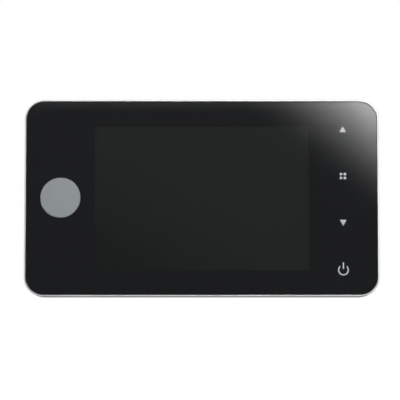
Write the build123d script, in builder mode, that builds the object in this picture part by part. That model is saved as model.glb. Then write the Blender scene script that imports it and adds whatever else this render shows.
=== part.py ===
from build123d import *
import os
from math import cos, pi, sin

os.makedirs("parts", exist_ok=True)

# Peephole door camera: an indoor monitor on a steel bracket, and a camera barrel through the door.
# The origin is on the barrel's axis, at the inner face of the door. The room lies towards -Y,
# the street towards +Y, and +Z is up. "Out" is a distance from the door's inner face into the room.

# Shared clearances
fit_gap = 0.1
slide_gap = 0.4
cut_overrun = 0.5

# Battery cells, size AA, lying across the left half of the casing
cell_count = 4
cell_radius = 7.1
cell_length = 50.5
cell_button_radius = 2.6
cell_button_height = 1.2
cell_edge = 0.6
cell_gap = 0.2

# Battery bay and its contacts
bay_wall = 1.0
bay_floor = 1.2
bay_room = 0.5
bay_end_room = 7.0
plate_thickness = 0.4
plate_height = 11.0
spring_height = 2.7
spring_radius = 3.0
spring_wire = 0.3
spring_turns = 2

# Battery cover, which slides sideways in two grooves
cover_thickness = 1.4
cover_tongue = 0.6
cover_tongue_reach = 1.6
cover_gap = 0.15
cover_ridges = 5
cover_ridge_length = 16.0
cover_ridge_width = 0.9
cover_ridge_spacing = 2.2
cover_ridge_depth = 0.35
cover_ridge_inset = 6.0

# Display
screen_width = 84.6
screen_height = 57.2
screen_corner = 0.6
lcd_side_border = 5.2
lcd_end_border = 1.7
glass_thickness = 1.4
glass_shelf = 1.2
backlight_thickness = 2.6
lcd_gasket_thickness = 0.3
lcd_gasket_set_in = 0.6
lcd_seat_gap = 0.2

# Front panel, printed film and their tape
panel_thickness = 2.0
panel_bevel = 0.15
mask_thickness = 0.3
mask_inset = 0.3
tape_thickness = 0.2
tape_width = 2.0
panel_gap = 0.1

# Touch symbols in a column at the right, and the blank disc at the left
key_count = 4
key_room = 8.2
key_top = 27.0
key_spacing = 18.45
arrow_width = 2.85
arrow_height = 2.4
dot_radius = 0.6
dot_spacing = 1.6
power_radius = 2.33
power_stroke = 0.55
power_opening = 2.8
power_bar_start = 0.4
power_bar_length = 2.7
disc_room = 8.2
disc_radius = 8.05
disc_thickness = 0.4
disc_pocket = 0.3

# Casing
screen_shift = 32.0
edge_room = 8.7
side_band = 22.5
rim_width = 0.5
rim_setback = 0.1
rim_bevel = 0.3
casing_corner = 7.8
casing_back = 1.0
frame_depth = 9.9
frame_wall = 1.5
ledge_width = 3.0
ledge_thickness = 1.2
seam_set_in = 0.5
housing_taper = 3.0
housing_wall = 1.8
housing_round = 1.0

# Screws that join the frame and the housing
screw_radius = 1.0
screw_head_radius = 1.75
screw_head_height = 1.3
screw_bite = 5.0
screw_recess = 3.5
post_radius = 2.3
post_inset = 6.2
post_side_inset = 12.0
drive_radius = 0.9
drive_depth = 0.7

# Main board
board_thickness = 1.2
board_gap = 1.4
board_side_gap = 1.5
board_post_radius = 2.4
board_post_height = 18.0
board_post_left_height = 24.0
board_screw_length = 6.0
board_screw_head = 1.2
touch_spring_radius = 2.0
touch_spring_wire = 0.25
touch_spring_turns = 4

# Chips on the room side of the board, as places and sizes from the screen's centre
chip_height = 1.0
processor_size = 12.0
memory_width = 9.0
memory_length = 11.0
storage_width = 6.0
storage_length = 5.0
chip_row_gap = 4.0

# Power parts on the door side of the board
capacitor_radius = 2.5
capacitor_height = 6.0
capacitor_count = 3
capacitor_spacing = 8.0
coil_size = 6.0
power_side_room = 3.0
coil_height = 3.0

# Display ribbon
flex_width = 20.0
flex_thickness = 0.15
flex_bend = 1.55
flex_side_room = 7.2
lcd_socket_height = 1.2
lcd_socket_length = 3.0
flex_run = 4.0

# Wires from the cells to the board
wire_radius = 0.5
wire_bend = 1.5
wire_out = 12.0

# Door bracket, a bent steel plate that the monitor hangs on
bracket_thickness = 1.2
bracket_half_width = 17.6
bracket_lip = 2.4
bracket_rise = 5.0
bracket_bend = 0.5
bracket_top = 22.0
bracket_bottom = 20.0
pad_thickness = 1.0
pad_hole_gap = 0.8
channel_depth = 9.8
channel_floor = 1.6
channel_wall = 1.6

# Fixing sleeve, screwed on the barrel from the room
bore_radius = 7.0
sleeve_length = 30.0
collar_set_in = 0.2
collar_gap = 0.15
flange_radius = 11.0
flange_thickness = 2.0
flange_slots = 4
flange_slot_width = 2.4
flange_slot_depth = 1.3
washer_thickness = 0.4
washer_gap = 0.4
sleeve_bevel = 0.4

# Camera barrel
door_thickness = 45.0
barrel_radius = 6.0
barrel_bore = 4.5
barrel_start = 3.0
head_length = 8.0
head_web = 1.5
head_wall = 1.0
thread_gap = 0.15

# Outer bezel and its gasket on the street side
bezel_radius = 13.0
bezel_lip = 1.4
bezel_bevel = 1.4
gasket_thickness = 1.0
gasket_inset = 0.6

# Lens stack, from the sensor to the street
sensor_board_thickness = 0.8
sensor_width = 5.2
sensor_height = 4.2
sensor_thickness = 0.8
holder_pocket = 4.2
filter_back = 1.8
filter_thickness = 0.5
stop_thickness = 0.6
stop_radius = 2.5
lens_radius = 4.5
rear_lens_edge = 1.0
rear_lens_bulge = 0.4
rear_lens_dish = 0.3
spacer_length = 2.4
spacer_wall = 0.8
middle_lens_edge = 0.9
middle_lens_dish = 0.5
dome_rim = 0.4
dome_rim_width = 1.0
dome_radius = 4.7
dome_height = 3.0
dome_hollow = 1.8
seal_thickness = 0.5

# Ribbon from the camera to the monitor
ribbon_width = 5.0
ribbon_thickness = 0.3
ribbon_bend = 2.0
ribbon_turn = 1.2
ribbon_out = 6.6
ribbon_drop = 14.0
plug_width = 8.0
plug_thickness = 2.4
plug_length = 8.8
plug_foot = 9.0
plug_bite = 4.8
socket_wall = 1.2
socket_roof = 3.0

# Heights and depths that follow from the sizes above
lcd_width = screen_width + 2 * lcd_side_border
lcd_height = screen_height + 2 * lcd_end_border
cell_spacing = 2 * cell_radius + cell_gap
bay_height = cell_count * cell_spacing + 2 * bay_room
core_height = max(lcd_height, bay_height + 2 * bay_wall)
casing_height = core_height + 2 * edge_room
casing_width = lcd_width + 2 * side_band
cover_out = casing_back + cover_thickness
cell_out = cover_out + cell_gap
bay_out = cell_out + 2 * cell_radius + cell_gap
bay_top = bay_out + bay_floor
backlight_out = bay_top + lcd_seat_gap
glass_out = backlight_out + backlight_thickness
lcd_gasket_out = glass_out + glass_thickness
mask_out = lcd_gasket_out + lcd_gasket_thickness
panel_out = mask_out + mask_thickness
casing_front = panel_out + panel_thickness
frame_front = casing_front - rim_setback
frame_back = frame_front - frame_depth
ledge_out = mask_out - tape_thickness
board_out = backlight_out - board_gap - board_thickness
board_front = board_out + board_thickness

# Outlines that follow from the sizes above
key_reach = lcd_width / 2 + key_room
disc_reach = lcd_width / 2 + disc_room
panel_width = casing_width - 2 * (rim_width + panel_gap)
panel_height = casing_height - 2 * (rim_width + panel_gap)
panel_corner = casing_corner - rim_width - panel_gap
seam_width = casing_width - 2 * seam_set_in
seam_height = casing_height - 2 * seam_set_in
seam_corner = casing_corner - seam_set_in
back_width = seam_width - 2 * housing_taper
back_height = seam_height - 2 * housing_taper
back_corner = seam_corner - housing_wall / 2
post_x = casing_width / 2 - post_side_inset
post_z = casing_height / 2 - post_inset
bay_left = bay_end_room - casing_width / 2
bay_length = cell_length + 2 * plate_thickness + spring_height
bay_right = bay_left + bay_length
bay_block_left = bay_left - 2 * housing_wall + slide_gap
bay_block_right = bay_right + bay_wall
board_left = bay_block_right + board_side_gap
board_right = casing_width / 2 - frame_wall - board_side_gap
board_height = core_height - 2 * slide_gap
board_post_left = board_left + board_side_gap + 2 * board_post_radius
lcd_socket_width = flex_width + lcd_socket_height
flex_reach = board_post_left + board_post_radius + flex_side_room + lcd_socket_width / 2
cover_height = cell_count * cell_spacing - 2 * fit_gap
tongue_height = cover_height + 2 * cover_tongue_reach
cover_left = bay_block_left + bay_wall
cover_right = bay_right + bay_wall

# Bracket, channel and barrel places that follow from the sizes above
bracket_out = pad_thickness
bracket_front = bracket_out + bracket_rise
channel_half_width = bracket_half_width + bracket_lip + slide_gap
channel_mouth = bracket_half_width + slide_gap
hook_out = bracket_front - bracket_thickness - slide_gap
channel_out = casing_back + channel_depth
channel_top = bracket_top + slide_gap
channel_block_half_width = channel_half_width + channel_wall
collar_radius = bore_radius + collar_set_in
washer_out = bracket_out + bracket_thickness
flange_out = washer_out + washer_thickness + fit_gap
flange_front = flange_out + flange_thickness
board_post_x = channel_block_half_width + board_post_radius + slide_gap
power_reach = screen_shift - channel_block_half_width - coil_size / 2 - power_side_room
head_start = door_thickness - head_length
bezel_start = door_thickness + gasket_thickness
sensor_seat = head_start + head_web
sensor_front = sensor_seat + sensor_board_thickness
filter_start = sensor_front + filter_back
stop_start = filter_start + filter_thickness
rear_lens_start = stop_start + stop_thickness + rear_lens_bulge
spacer_start = rear_lens_start + rear_lens_edge
middle_lens_start = spacer_start + spacer_length
dome_start = middle_lens_start + middle_lens_edge
seal_start = dome_start + dome_rim
lip_start = seal_start + seal_thickness
head_bore = bore_radius - head_wall
holder_radius = head_bore - fit_gap
plug_out = ribbon_out + 2 * ribbon_turn + fit_gap
plug_top = plug_foot + plug_length
socket_foot = plug_top - plug_bite
socket_width = plug_width + 2 * socket_wall
socket_top = plug_top + socket_roof
socket_back = plug_out - plug_thickness / 2 - fit_gap - socket_wall


# A plane that faces the room behind the screen's centre: x to the right, y up
def screen_plane(out):
    return Plane(origin=(-screen_shift, -out, 0), x_dir=(1, 0, 0), z_dir=(0, -1, 0))


# The same plane on the barrel's axis
def barrel_plane(out):
    return Plane.XZ.offset(out)


# Rounded outlines of the panel, the casing and the housing's two ends, drawn in by an inset
def panel_outline(inset):
    RectangleRounded(panel_width - 2 * inset, panel_height - 2 * inset, panel_corner - inset)


def casing_outline(inset):
    RectangleRounded(casing_width - 2 * inset, casing_height - 2 * inset, casing_corner - inset)


def housing_front_outline(inset):
    RectangleRounded(seam_width - 2 * inset, seam_height - 2 * inset, seam_corner - inset)


def housing_back_outline(inset):
    RectangleRounded(back_width - 2 * inset, back_height - 2 * inset, back_corner - inset)


# Outline of the battery bay's walls
def bay_outline():
    with Locations(((bay_block_left + bay_block_right) / 2, 0)):
        Rectangle(bay_block_right - bay_block_left, bay_height + 2 * bay_wall)


# Height of a touch symbol, counted from the top of the column
def key_height(row):
    return key_top - row * key_spacing


# Height of a cell's axis, counted from the bottom of the bay
def cell_height(row):
    return (row - (cell_count - 1) / 2) * cell_spacing


# The four symbols: an arrow up, a square of dots, an arrow down and a power sign
def draw_symbols():
    with Locations((key_reach, key_height(0))):
        Triangle(a=arrow_width, b=arrow_side, c=arrow_side, align=(Align.CENTER, Align.CENTER))
    with Locations((key_reach, key_height(1))):
        with GridLocations(dot_spacing, dot_spacing, 2, 2):
            Circle(dot_radius)
    with Locations((key_reach, key_height(2))):
        Triangle(
            a=arrow_width, b=arrow_side, c=arrow_side, rotation=180, align=(Align.CENTER, Align.CENTER)
        )
    with Locations((key_reach, key_height(3))):
        Circle(power_radius)
        Circle(power_radius - power_stroke, mode=Mode.SUBTRACT)
        Rectangle(power_opening, power_radius, align=(Align.CENTER, Align.MIN), mode=Mode.SUBTRACT)
    with Locations((key_reach, key_height(3) + power_bar_start)):
        Rectangle(power_stroke, power_bar_length, align=(Align.CENTER, Align.MIN))


arrow_side = ((arrow_width / 2) ** 2 + arrow_height ** 2) ** 0.5


# A coil spring as one unbroken wire: each half turn is an arc that climbs half a pitch
def coil_spring(seat, radius, wire, height, turns):
    pitch = (height - 2 * wire) / turns
    reach = (radius ** 2 + (pitch / 4) ** 2) ** 0.5
    with BuildPart() as spring:
        with BuildLine(seat):
            for half in range(2 * turns):
                side = 1 - 2 * (half % 2)
                low = wire + half * pitch / 2
                ThreePointArc(
                    (side * radius, 0, low),
                    (0, side * reach, low + pitch / 4),
                    (-side * radius, 0, low + pitch / 2),
                )
        with BuildSketch(Plane(seat.from_local_coords((radius, 0, wire)), z_dir=seat.y_dir)):
            Circle(wire)
        sweep()
    return spring.part


# The smallest air gap between the turns of a spring, measured on points of its axis
def coil_gap(radius, wire, height, turns):
    pitch = (height - 2 * wire) / turns
    steps = 24
    points = []
    for step in range(steps * turns + 1):
        angle = 2 * pi * step / steps
        points.append(Vector(radius * cos(angle), radius * sin(angle), pitch * step / steps))
    half_turn = steps // 2
    gaps = [(points[i] - points[j]).length for i in range(len(points)) for j in range(i - half_turn)]
    return min(gaps) - 2 * wire


# A plane through the barrel's height and depth: x out into the room, y up, thickness along the width
def side_plane(across):
    return Plane(origin=(across, 0, 0), x_dir=(0, -1, 0), z_dir=(-1, 0, 0))


# A strip of even thickness that follows a route with rounded corners
def bent_strip(plane, route, bends, thickness, side, width):
    with BuildPart() as strip:
        with BuildSketch(plane):
            with BuildLine():
                FilletPolyline(*route, radius=bends)
                offset(amount=thickness, side=side)
            make_face()
        extrude(amount=width / 2, both=True)
    return strip.part


# A pan head screw with a round drive socket, its shank pointing along the plane's normal
def pan_screw(seat, shank_length, head_height):
    with BuildPart() as screw:
        with BuildSketch(seat):
            Circle(screw_radius)
        extrude(amount=shank_length)
        with BuildSketch(seat):
            Circle(screw_head_radius)
        extrude(amount=-head_height)
        with BuildSketch(seat.offset(-head_height)):
            RegularPolygon(drive_radius, 6)
        extrude(amount=drive_depth, mode=Mode.SUBTRACT)
    return screw.part


# A round lens between two spherical faces; a hollow face has a negative bulge
def lens_blank(radius, start, edge, rear_bulge, front_bulge):
    with BuildPart() as lens:
        with BuildSketch(Plane.XY):
            with BuildLine():
                side_foot = (radius, start)
                side_head = (radius, start + edge)
                rear_middle = (0, start - rear_bulge)
                front_middle = (0, start + edge + front_bulge)
                Line(rear_middle, front_middle)
                TangentArc(front_middle, side_head, tangent=(1, 0))
                Line(side_head, side_foot)
                TangentArc(rear_middle, side_foot, tangent=(1, 0))
            make_face()
        revolve(axis=Axis.Y)
    return lens.part


# Front panel: one clear sheet with a shallow pocket for the disc
with BuildPart() as front_panel:
    with BuildSketch(screen_plane(panel_out)):
        panel_outline(0)
    extrude(amount=panel_thickness)
    chamfer(front_panel.faces().sort_by(Axis.Y)[0].edges(), panel_bevel)
    with BuildSketch(screen_plane(casing_front - disc_pocket)):
        with Locations((-disc_reach, 0)):
            Circle(disc_radius + fit_gap)
    extrude(amount=disc_pocket + cut_overrun, mode=Mode.SUBTRACT)
front_panel.part.label = "front_panel"
export_step(front_panel.part, "parts/front_panel.step")

# Blank disc, glued into its pocket
with BuildPart() as blank_disc:
    with BuildSketch(screen_plane(casing_front - disc_pocket)):
        with Locations((-disc_reach, 0)):
            Circle(disc_radius)
    extrude(amount=disc_thickness)
    chamfer(blank_disc.faces().sort_by(Axis.Y)[0].edges(), fit_gap)
blank_disc.part.label = "blank_disc"
export_step(blank_disc.part, "parts/blank_disc.step")

# Black film on the back of the panel, open at the screen and at the symbols
with BuildPart() as panel_mask:
    with BuildSketch(screen_plane(mask_out)):
        panel_outline(mask_inset)
        RectangleRounded(screen_width, screen_height, screen_corner, mode=Mode.SUBTRACT)
    extrude(amount=mask_thickness)
    with BuildSketch(screen_plane(mask_out)):
        draw_symbols()
    extrude(amount=mask_thickness, mode=Mode.SUBTRACT)
panel_mask.part.label = "panel_mask"
export_step(panel_mask.part, "parts/panel_mask.step")

# Pale windows of the symbols in the film
with BuildPart() as key_symbols:
    with BuildSketch(screen_plane(mask_out)):
        draw_symbols()
    extrude(amount=mask_thickness)
key_symbols.part.label = "key_symbols"
export_step(key_symbols.part, "parts/key_symbols.step")

# Tape that bonds the film to the frame's ledge
with BuildPart() as panel_tape:
    with BuildSketch(screen_plane(ledge_out)):
        panel_outline(mask_inset)
        offset(amount=-tape_width, kind=Kind.INTERSECTION, mode=Mode.SUBTRACT)
    extrude(amount=tape_thickness)
panel_tape.part.label = "panel_tape"
export_step(panel_tape.part, "parts/panel_tape.step")

# Front frame: a bright rim round the panel, a ledge behind it and a lug for each screw
with BuildPart() as front_frame:
    with BuildSketch(screen_plane(frame_back)):
        casing_outline(0)
    extrude(amount=frame_depth)
    chamfer(front_frame.faces().sort_by(Axis.Y)[0].edges(), rim_bevel)
    with BuildSketch(screen_plane(ledge_out)):
        panel_outline(-panel_gap)
    extrude(amount=frame_front - ledge_out + cut_overrun, mode=Mode.SUBTRACT)
    with BuildSketch(screen_plane(ledge_out - ledge_thickness)):
        panel_outline(ledge_width)
    extrude(amount=ledge_thickness, mode=Mode.SUBTRACT)
    with BuildSketch(screen_plane(frame_back)):
        casing_outline(frame_wall)
        for side in (-1, 1):
            for end in (-1, 1):
                with Locations((end * post_x, side * post_z)):
                    Circle(post_radius, mode=Mode.SUBTRACT)
                with Locations((end * post_x, side * (post_z + casing_height / 2) / 2)):
                    Rectangle(2 * post_radius, casing_height / 2 - post_z, mode=Mode.SUBTRACT)
    extrude(amount=ledge_out - ledge_thickness - frame_back, mode=Mode.SUBTRACT)
    with BuildSketch(screen_plane(frame_back)):
        with GridLocations(2 * post_x, 2 * post_z, 2, 2):
            Circle(screw_radius + fit_gap)
    extrude(amount=screw_bite, mode=Mode.SUBTRACT)
front_frame.part.label = "front_frame"
export_step(front_frame.part, "parts/front_frame.step")

# Foam strip between the display and the film
with BuildPart() as lcd_gasket:
    with BuildSketch(screen_plane(lcd_gasket_out)):
        Rectangle(lcd_width, lcd_height)
        Rectangle(
            screen_width + 2 * lcd_gasket_set_in, screen_height + 2 * lcd_gasket_set_in, mode=Mode.SUBTRACT
        )
    extrude(amount=lcd_gasket_thickness)
lcd_gasket.part.label = "lcd_gasket"
export_step(lcd_gasket.part, "parts/lcd_gasket.step")

# Display glass, which overhangs the backlight at its lower edge
with BuildPart() as lcd_glass:
    with BuildSketch(screen_plane(glass_out)):
        Rectangle(lcd_width, lcd_height)
    extrude(amount=glass_thickness)
lcd_glass.part.label = "lcd_glass"
export_step(lcd_glass.part, "parts/lcd_glass.step")

# Backlight tray
with BuildPart() as lcd_backlight:
    with BuildSketch(screen_plane(backlight_out)):
        with Locations((0, glass_shelf / 2)):
            RectangleRounded(lcd_width, lcd_height - glass_shelf, screen_corner)
    extrude(amount=backlight_thickness)
lcd_backlight.part.label = "lcd_backlight"
export_step(lcd_backlight.part, "parts/lcd_backlight.step")

# Display ribbon: from the back of the glass round its lower edge to the socket on the board
lcd_edge = -lcd_height / 2
flex_under = glass_out - 2 * flex_bend - flex_thickness
flex_route = [
    (glass_out - flex_thickness, lcd_edge + glass_shelf - fit_gap),
    (glass_out - flex_thickness, lcd_edge - flex_bend),
    (flex_under, lcd_edge - flex_bend),
    (flex_under, lcd_edge + flex_run),
]
lcd_flex = bent_strip(
    side_plane(flex_reach - screen_shift),
    flex_route,
    flex_bend - flex_thickness,
    flex_thickness,
    Side.LEFT,
    flex_width,
)
lcd_flex.label = "lcd_flex"
export_step(lcd_flex, "parts/lcd_flex.step")

# Socket of the display ribbon
with BuildPart() as lcd_socket:
    with BuildSketch(screen_plane(board_front)):
        with Locations((flex_reach, lcd_edge + flex_run)):
            Rectangle(lcd_socket_width, lcd_socket_length, align=(Align.CENTER, Align.MIN))
    extrude(amount=lcd_socket_height)
lcd_socket.part.label = "lcd_socket"
export_step(lcd_socket.part, "parts/lcd_socket.step")

# Main board, with a hole at each of its own screws
board_post_places = [
    (board_post_left, board_post_left_height),
    (board_post_left, -board_post_left_height),
    (screen_shift + board_post_x, board_post_height),
    (screen_shift + board_post_x, -board_post_height),
]
with BuildPart() as main_board:
    with BuildSketch(screen_plane(board_out)):
        with Locations(((board_left + board_right) / 2, 0)):
            RectangleRounded(board_right - board_left, board_height, board_side_gap)
        with Locations(*board_post_places):
            Circle(screw_radius + fit_gap, mode=Mode.SUBTRACT)
    extrude(amount=board_thickness)
main_board.part.label = "main_board"
export_step(main_board.part, "parts/main_board.step")

# Chips on the room side of the board, in a group above the display's socket
chip_foot = lcd_edge + flex_run + lcd_socket_length + chip_row_gap
with BuildPart() as board_chips:
    with BuildSketch(screen_plane(board_front)):
        with Locations((flex_reach, chip_foot + processor_size + chip_row_gap)):
            Rectangle(processor_size, processor_size, align=(Align.CENTER, Align.MIN))
        with Locations((flex_reach - processor_size / 2, chip_foot)):
            Rectangle(memory_length, memory_width, align=(Align.CENTER, Align.MIN))
        with Locations((flex_reach + processor_size / 2, chip_foot)):
            Rectangle(storage_width, storage_length, align=(Align.CENTER, Align.MIN))
    extrude(amount=chip_height)
board_chips.part.label = "board_chips"
export_step(board_chips.part, "parts/board_chips.step")

# Capacitors and a power coil in a column on the door side of the board
with BuildPart() as power_parts:
    with BuildSketch(screen_plane(board_out)):
        with Locations((power_reach, capacitor_spacing / 2)):
            with GridLocations(0, capacitor_spacing, 1, capacitor_count):
                Circle(capacitor_radius)
    extrude(amount=-capacitor_height)
    with BuildSketch(screen_plane(board_out)):
        with Locations((power_reach, -capacitor_count * capacitor_spacing / 2)):
            Rectangle(coil_size, coil_size)
    extrude(amount=-coil_height)
power_parts.part.label = "power_parts"
export_step(power_parts.part, "parts/power_parts.step")

# A touch spring behind each symbol, between the board and the film
touch_spring_height = mask_out - board_front
springs = []
for row in range(key_count):
    seat = screen_plane(board_front)
    seat.origin = seat.from_local_coords((key_reach, key_height(row), 0))
    springs.append(
        coil_spring(seat, touch_spring_radius, touch_spring_wire, touch_spring_height, touch_spring_turns)
    )
touch_springs = Compound(label="touch_springs", children=springs)
export_step(touch_springs, "parts/touch_springs.step")
touch_spring_gap = coil_gap(
    touch_spring_radius, touch_spring_wire, touch_spring_height, touch_spring_turns
)
print("touch spring gap", touch_spring_gap)

# Screws that hold the board on the housing's posts
screws = []
for place in board_post_places:
    seat = screen_plane(board_front)
    seat.origin = seat.from_local_coords((place[0], place[1], 0))
    seat = Plane(seat.origin, x_dir=seat.x_dir, z_dir=-seat.z_dir)
    screws.append(pan_screw(seat, board_screw_length, board_screw_head))
board_screws = Compound(label="board_screws", children=screws)
export_step(board_screws, "parts/board_screws.step")

# Socket on the board that reaches through the housing and takes the camera's plug from below
with BuildPart() as camera_socket:
    with BuildSketch(barrel_plane(board_out)):
        with Locations((0, socket_foot)):
            Rectangle(socket_width, socket_top - socket_foot, align=(Align.CENTER, Align.MIN))
    extrude(amount=socket_back - board_out)
    with BuildSketch(barrel_plane(plug_out - plug_thickness / 2 - fit_gap)):
        with Locations((0, socket_foot)):
            Rectangle(plug_width + 2 * fit_gap, plug_bite + fit_gap, align=(Align.CENTER, Align.MIN))
    extrude(amount=plug_thickness + 2 * fit_gap, mode=Mode.SUBTRACT)
camera_socket.part.label = "camera_socket"
export_step(camera_socket.part, "parts/camera_socket.step")

# Wires from the two ends of the row of cells to the board
wires = []
for row in (0, cell_count - 1):
    level = cell_height(row)
    wire_start = bay_right - screen_shift
    wire_turn = board_left - screen_shift + wire_bend
    with BuildPart() as wire:
        with BuildLine():
            FilletPolyline(
                (wire_start, -wire_out, level),
                (wire_turn, -wire_out, level),
                (wire_turn, -board_out, level),
                radius=wire_bend,
            )
        with BuildSketch(Plane(origin=(wire_start, -wire_out, level), z_dir=(1, 0, 0))):
            Circle(wire_radius)
        sweep()
    wires.append(wire.part)
battery_wires = Compound(label="battery_wires", children=wires)
export_step(battery_wires, "parts/battery_wires.step")

# The room inside the rear housing, without the battery bay, the bracket's channel and the posts
with BuildPart() as housing_room:
    with BuildSketch(screen_plane(frame_back)):
        housing_front_outline(housing_wall)
    with BuildSketch(screen_plane(casing_back + housing_wall)):
        housing_back_outline(housing_wall)
    loft()
    with BuildSketch(screen_plane(casing_back)):
        bay_outline()
        with GridLocations(2 * post_x, 2 * post_z, 2, 2):
            Circle(post_radius)
        with Locations(*board_post_places):
            Circle(board_post_radius)
    extrude(amount=frame_back - casing_back, mode=Mode.SUBTRACT)
    with BuildSketch(barrel_plane(casing_back)):
        with Locations((0, channel_top + channel_wall)):
            Rectangle(2 * channel_block_half_width, casing_height, align=(Align.CENTER, Align.MAX))
    extrude(amount=channel_out + channel_floor - casing_back, mode=Mode.SUBTRACT)

# Rear housing: a tapered shell with the bay, the channel, the posts and their holes
with BuildPart() as rear_housing:
    with BuildSketch(screen_plane(frame_back)):
        housing_front_outline(0)
    with BuildSketch(screen_plane(casing_back)):
        housing_back_outline(0)
    loft()
    fillet(rear_housing.faces().sort_by(Axis.Y)[-1].edges(), housing_round)
    add(housing_room.part, mode=Mode.SUBTRACT)
    with BuildSketch(screen_plane(frame_back)):
        bay_outline()
    extrude(amount=bay_top - frame_back)
    with BuildSketch(screen_plane(frame_back)):
        with Locations(*board_post_places):
            Circle(board_post_radius)
    extrude(amount=board_out - frame_back)
    with BuildSketch(screen_plane(cover_out)):
        with Locations(((bay_left + bay_right) / 2, 0)):
            Rectangle(bay_length, bay_height)
    extrude(amount=bay_out - cover_out, mode=Mode.SUBTRACT)
    with BuildSketch(screen_plane(casing_back - cut_overrun)):
        with Locations((cover_right + cover_gap, 0)):
            Rectangle(casing_width, cover_height + 2 * cover_gap, align=(Align.MAX, Align.CENTER))
    extrude(amount=cover_out + fit_gap - casing_back + cut_overrun, mode=Mode.SUBTRACT)
    with BuildSketch(screen_plane(cover_out - cover_tongue - fit_gap)):
        with Locations((cover_right + cover_gap, 0)):
            Rectangle(casing_width, tongue_height + 2 * cover_gap, align=(Align.MAX, Align.CENTER))
    extrude(amount=cover_tongue + 2 * fit_gap, mode=Mode.SUBTRACT)
    with BuildSketch(barrel_plane(hook_out)):
        with Locations((0, channel_top)):
            Rectangle(2 * channel_half_width, casing_height, align=(Align.CENTER, Align.MAX))
    extrude(amount=channel_out - hook_out, mode=Mode.SUBTRACT)
    with BuildSketch(barrel_plane(casing_back - cut_overrun)):
        with Locations((0, channel_top)):
            Rectangle(2 * channel_mouth, casing_height, align=(Align.CENTER, Align.MAX))
    extrude(amount=hook_out - casing_back + cut_overrun, mode=Mode.SUBTRACT)
    with BuildSketch(barrel_plane(channel_out - cut_overrun)):
        with Locations((0, (socket_foot + socket_top) / 2)):
            Rectangle(socket_width + 2 * fit_gap, socket_top - socket_foot + 2 * fit_gap)
    extrude(amount=channel_floor + 2 * cut_overrun, mode=Mode.SUBTRACT)
    with BuildSketch(screen_plane(casing_back)):
        with GridLocations(2 * post_x, 2 * post_z, 2, 2):
            Circle(screw_radius + fit_gap)
    extrude(amount=frame_back - casing_back, mode=Mode.SUBTRACT)
    with BuildSketch(screen_plane(casing_back - cut_overrun)):
        with GridLocations(2 * post_x, 2 * post_z, 2, 2):
            Circle(screw_head_radius + fit_gap)
    extrude(amount=screw_recess + cut_overrun, mode=Mode.SUBTRACT)
    with BuildSketch(screen_plane(board_out)):
        with Locations(*board_post_places):
            Circle(screw_radius + fit_gap)
    extrude(amount=board_thickness - board_screw_length, mode=Mode.SUBTRACT)
    with BuildSketch(Plane.YZ.offset(bay_right - screen_shift)):
        with GridLocations(0, 2 * cell_height(cell_count - 1), 1, 2):
            with Locations((-wire_out, 0)):
                Circle(wire_radius + fit_gap)
    extrude(amount=bay_wall, mode=Mode.SUBTRACT)
rear_housing.part.label = "rear_housing"
export_step(rear_housing.part, "parts/rear_housing.step")

# Long screws from the back of the housing into the frame's lugs
screws = []
for side in (-1, 1):
    for end in (-1, 1):
        seat = screen_plane(casing_back + screw_recess)
        seat.origin = seat.from_local_coords((end * post_x, side * post_z, 0))
        length = frame_back - casing_back - screw_recess + screw_bite - fit_gap
        screws.append(pan_screw(seat, length, screw_head_height))
housing_screws = Compound(label="housing_screws", children=screws)
export_step(housing_screws, "parts/housing_screws.step")

# Battery contacts: single plates at the two ends of the circuit, long ones that join two cells
with BuildPart() as battery_plates:
    with BuildSketch(Plane.YZ.offset(bay_left - screen_shift)):
        for pair in (-1, 1):
            with Locations((-(cell_out + cell_radius), pair * cell_spacing)):
                Rectangle(plate_height, plate_height + cell_spacing)
    extrude(amount=plate_thickness)
    with BuildSketch(Plane.YZ.offset(bay_right - screen_shift)):
        with Locations((-(cell_out + cell_radius), 0)):
            Rectangle(plate_height, plate_height + cell_spacing)
        for row in (0, cell_count - 1):
            with Locations((-(cell_out + cell_radius), cell_height(row))):
                Rectangle(plate_height, plate_height)
    extrude(amount=-plate_thickness)
battery_plates.part.label = "battery_plates"
export_step(battery_plates.part, "parts/battery_plates.step")

# Cells and the springs behind them, each turned the other way from the one below
springs = []
for row in range(cell_count):
    if row % 2:
        spring_foot = bay_right - plate_thickness - screen_shift
        heading = -1
    else:
        spring_foot = bay_left + plate_thickness - screen_shift
        heading = 1
    foot = Vector(spring_foot, -(cell_out + cell_radius), cell_height(row))
    seat = Plane(foot, x_dir=(0, 0, 1), z_dir=(heading, 0, 0))
    springs.append(coil_spring(seat, spring_radius, spring_wire, spring_height, spring_turns))
    cell_plane = Plane(foot + Vector(heading * spring_height, 0, 0), x_dir=(0, 0, 1), z_dir=(heading, 0, 0))
    with BuildPart() as cell:
        with BuildSketch(cell_plane):
            Circle(cell_radius)
        extrude(amount=cell_length - cell_button_height)
        fillet(cell.edges(), cell_edge)
        with BuildSketch(cell_plane.offset(cell_length - cell_button_height)):
            Circle(cell_button_radius)
        extrude(amount=cell_button_height)
    cell_name = f"battery_cell_{row + 1}"
    cell.part.label = cell_name
    export_step(cell.part, f"parts/{cell_name}.step")
battery_springs = Compound(label="battery_springs", children=springs)
export_step(battery_springs, "parts/battery_springs.step")
print("battery spring gap", coil_gap(spring_radius, spring_wire, spring_height, spring_turns))

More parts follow.
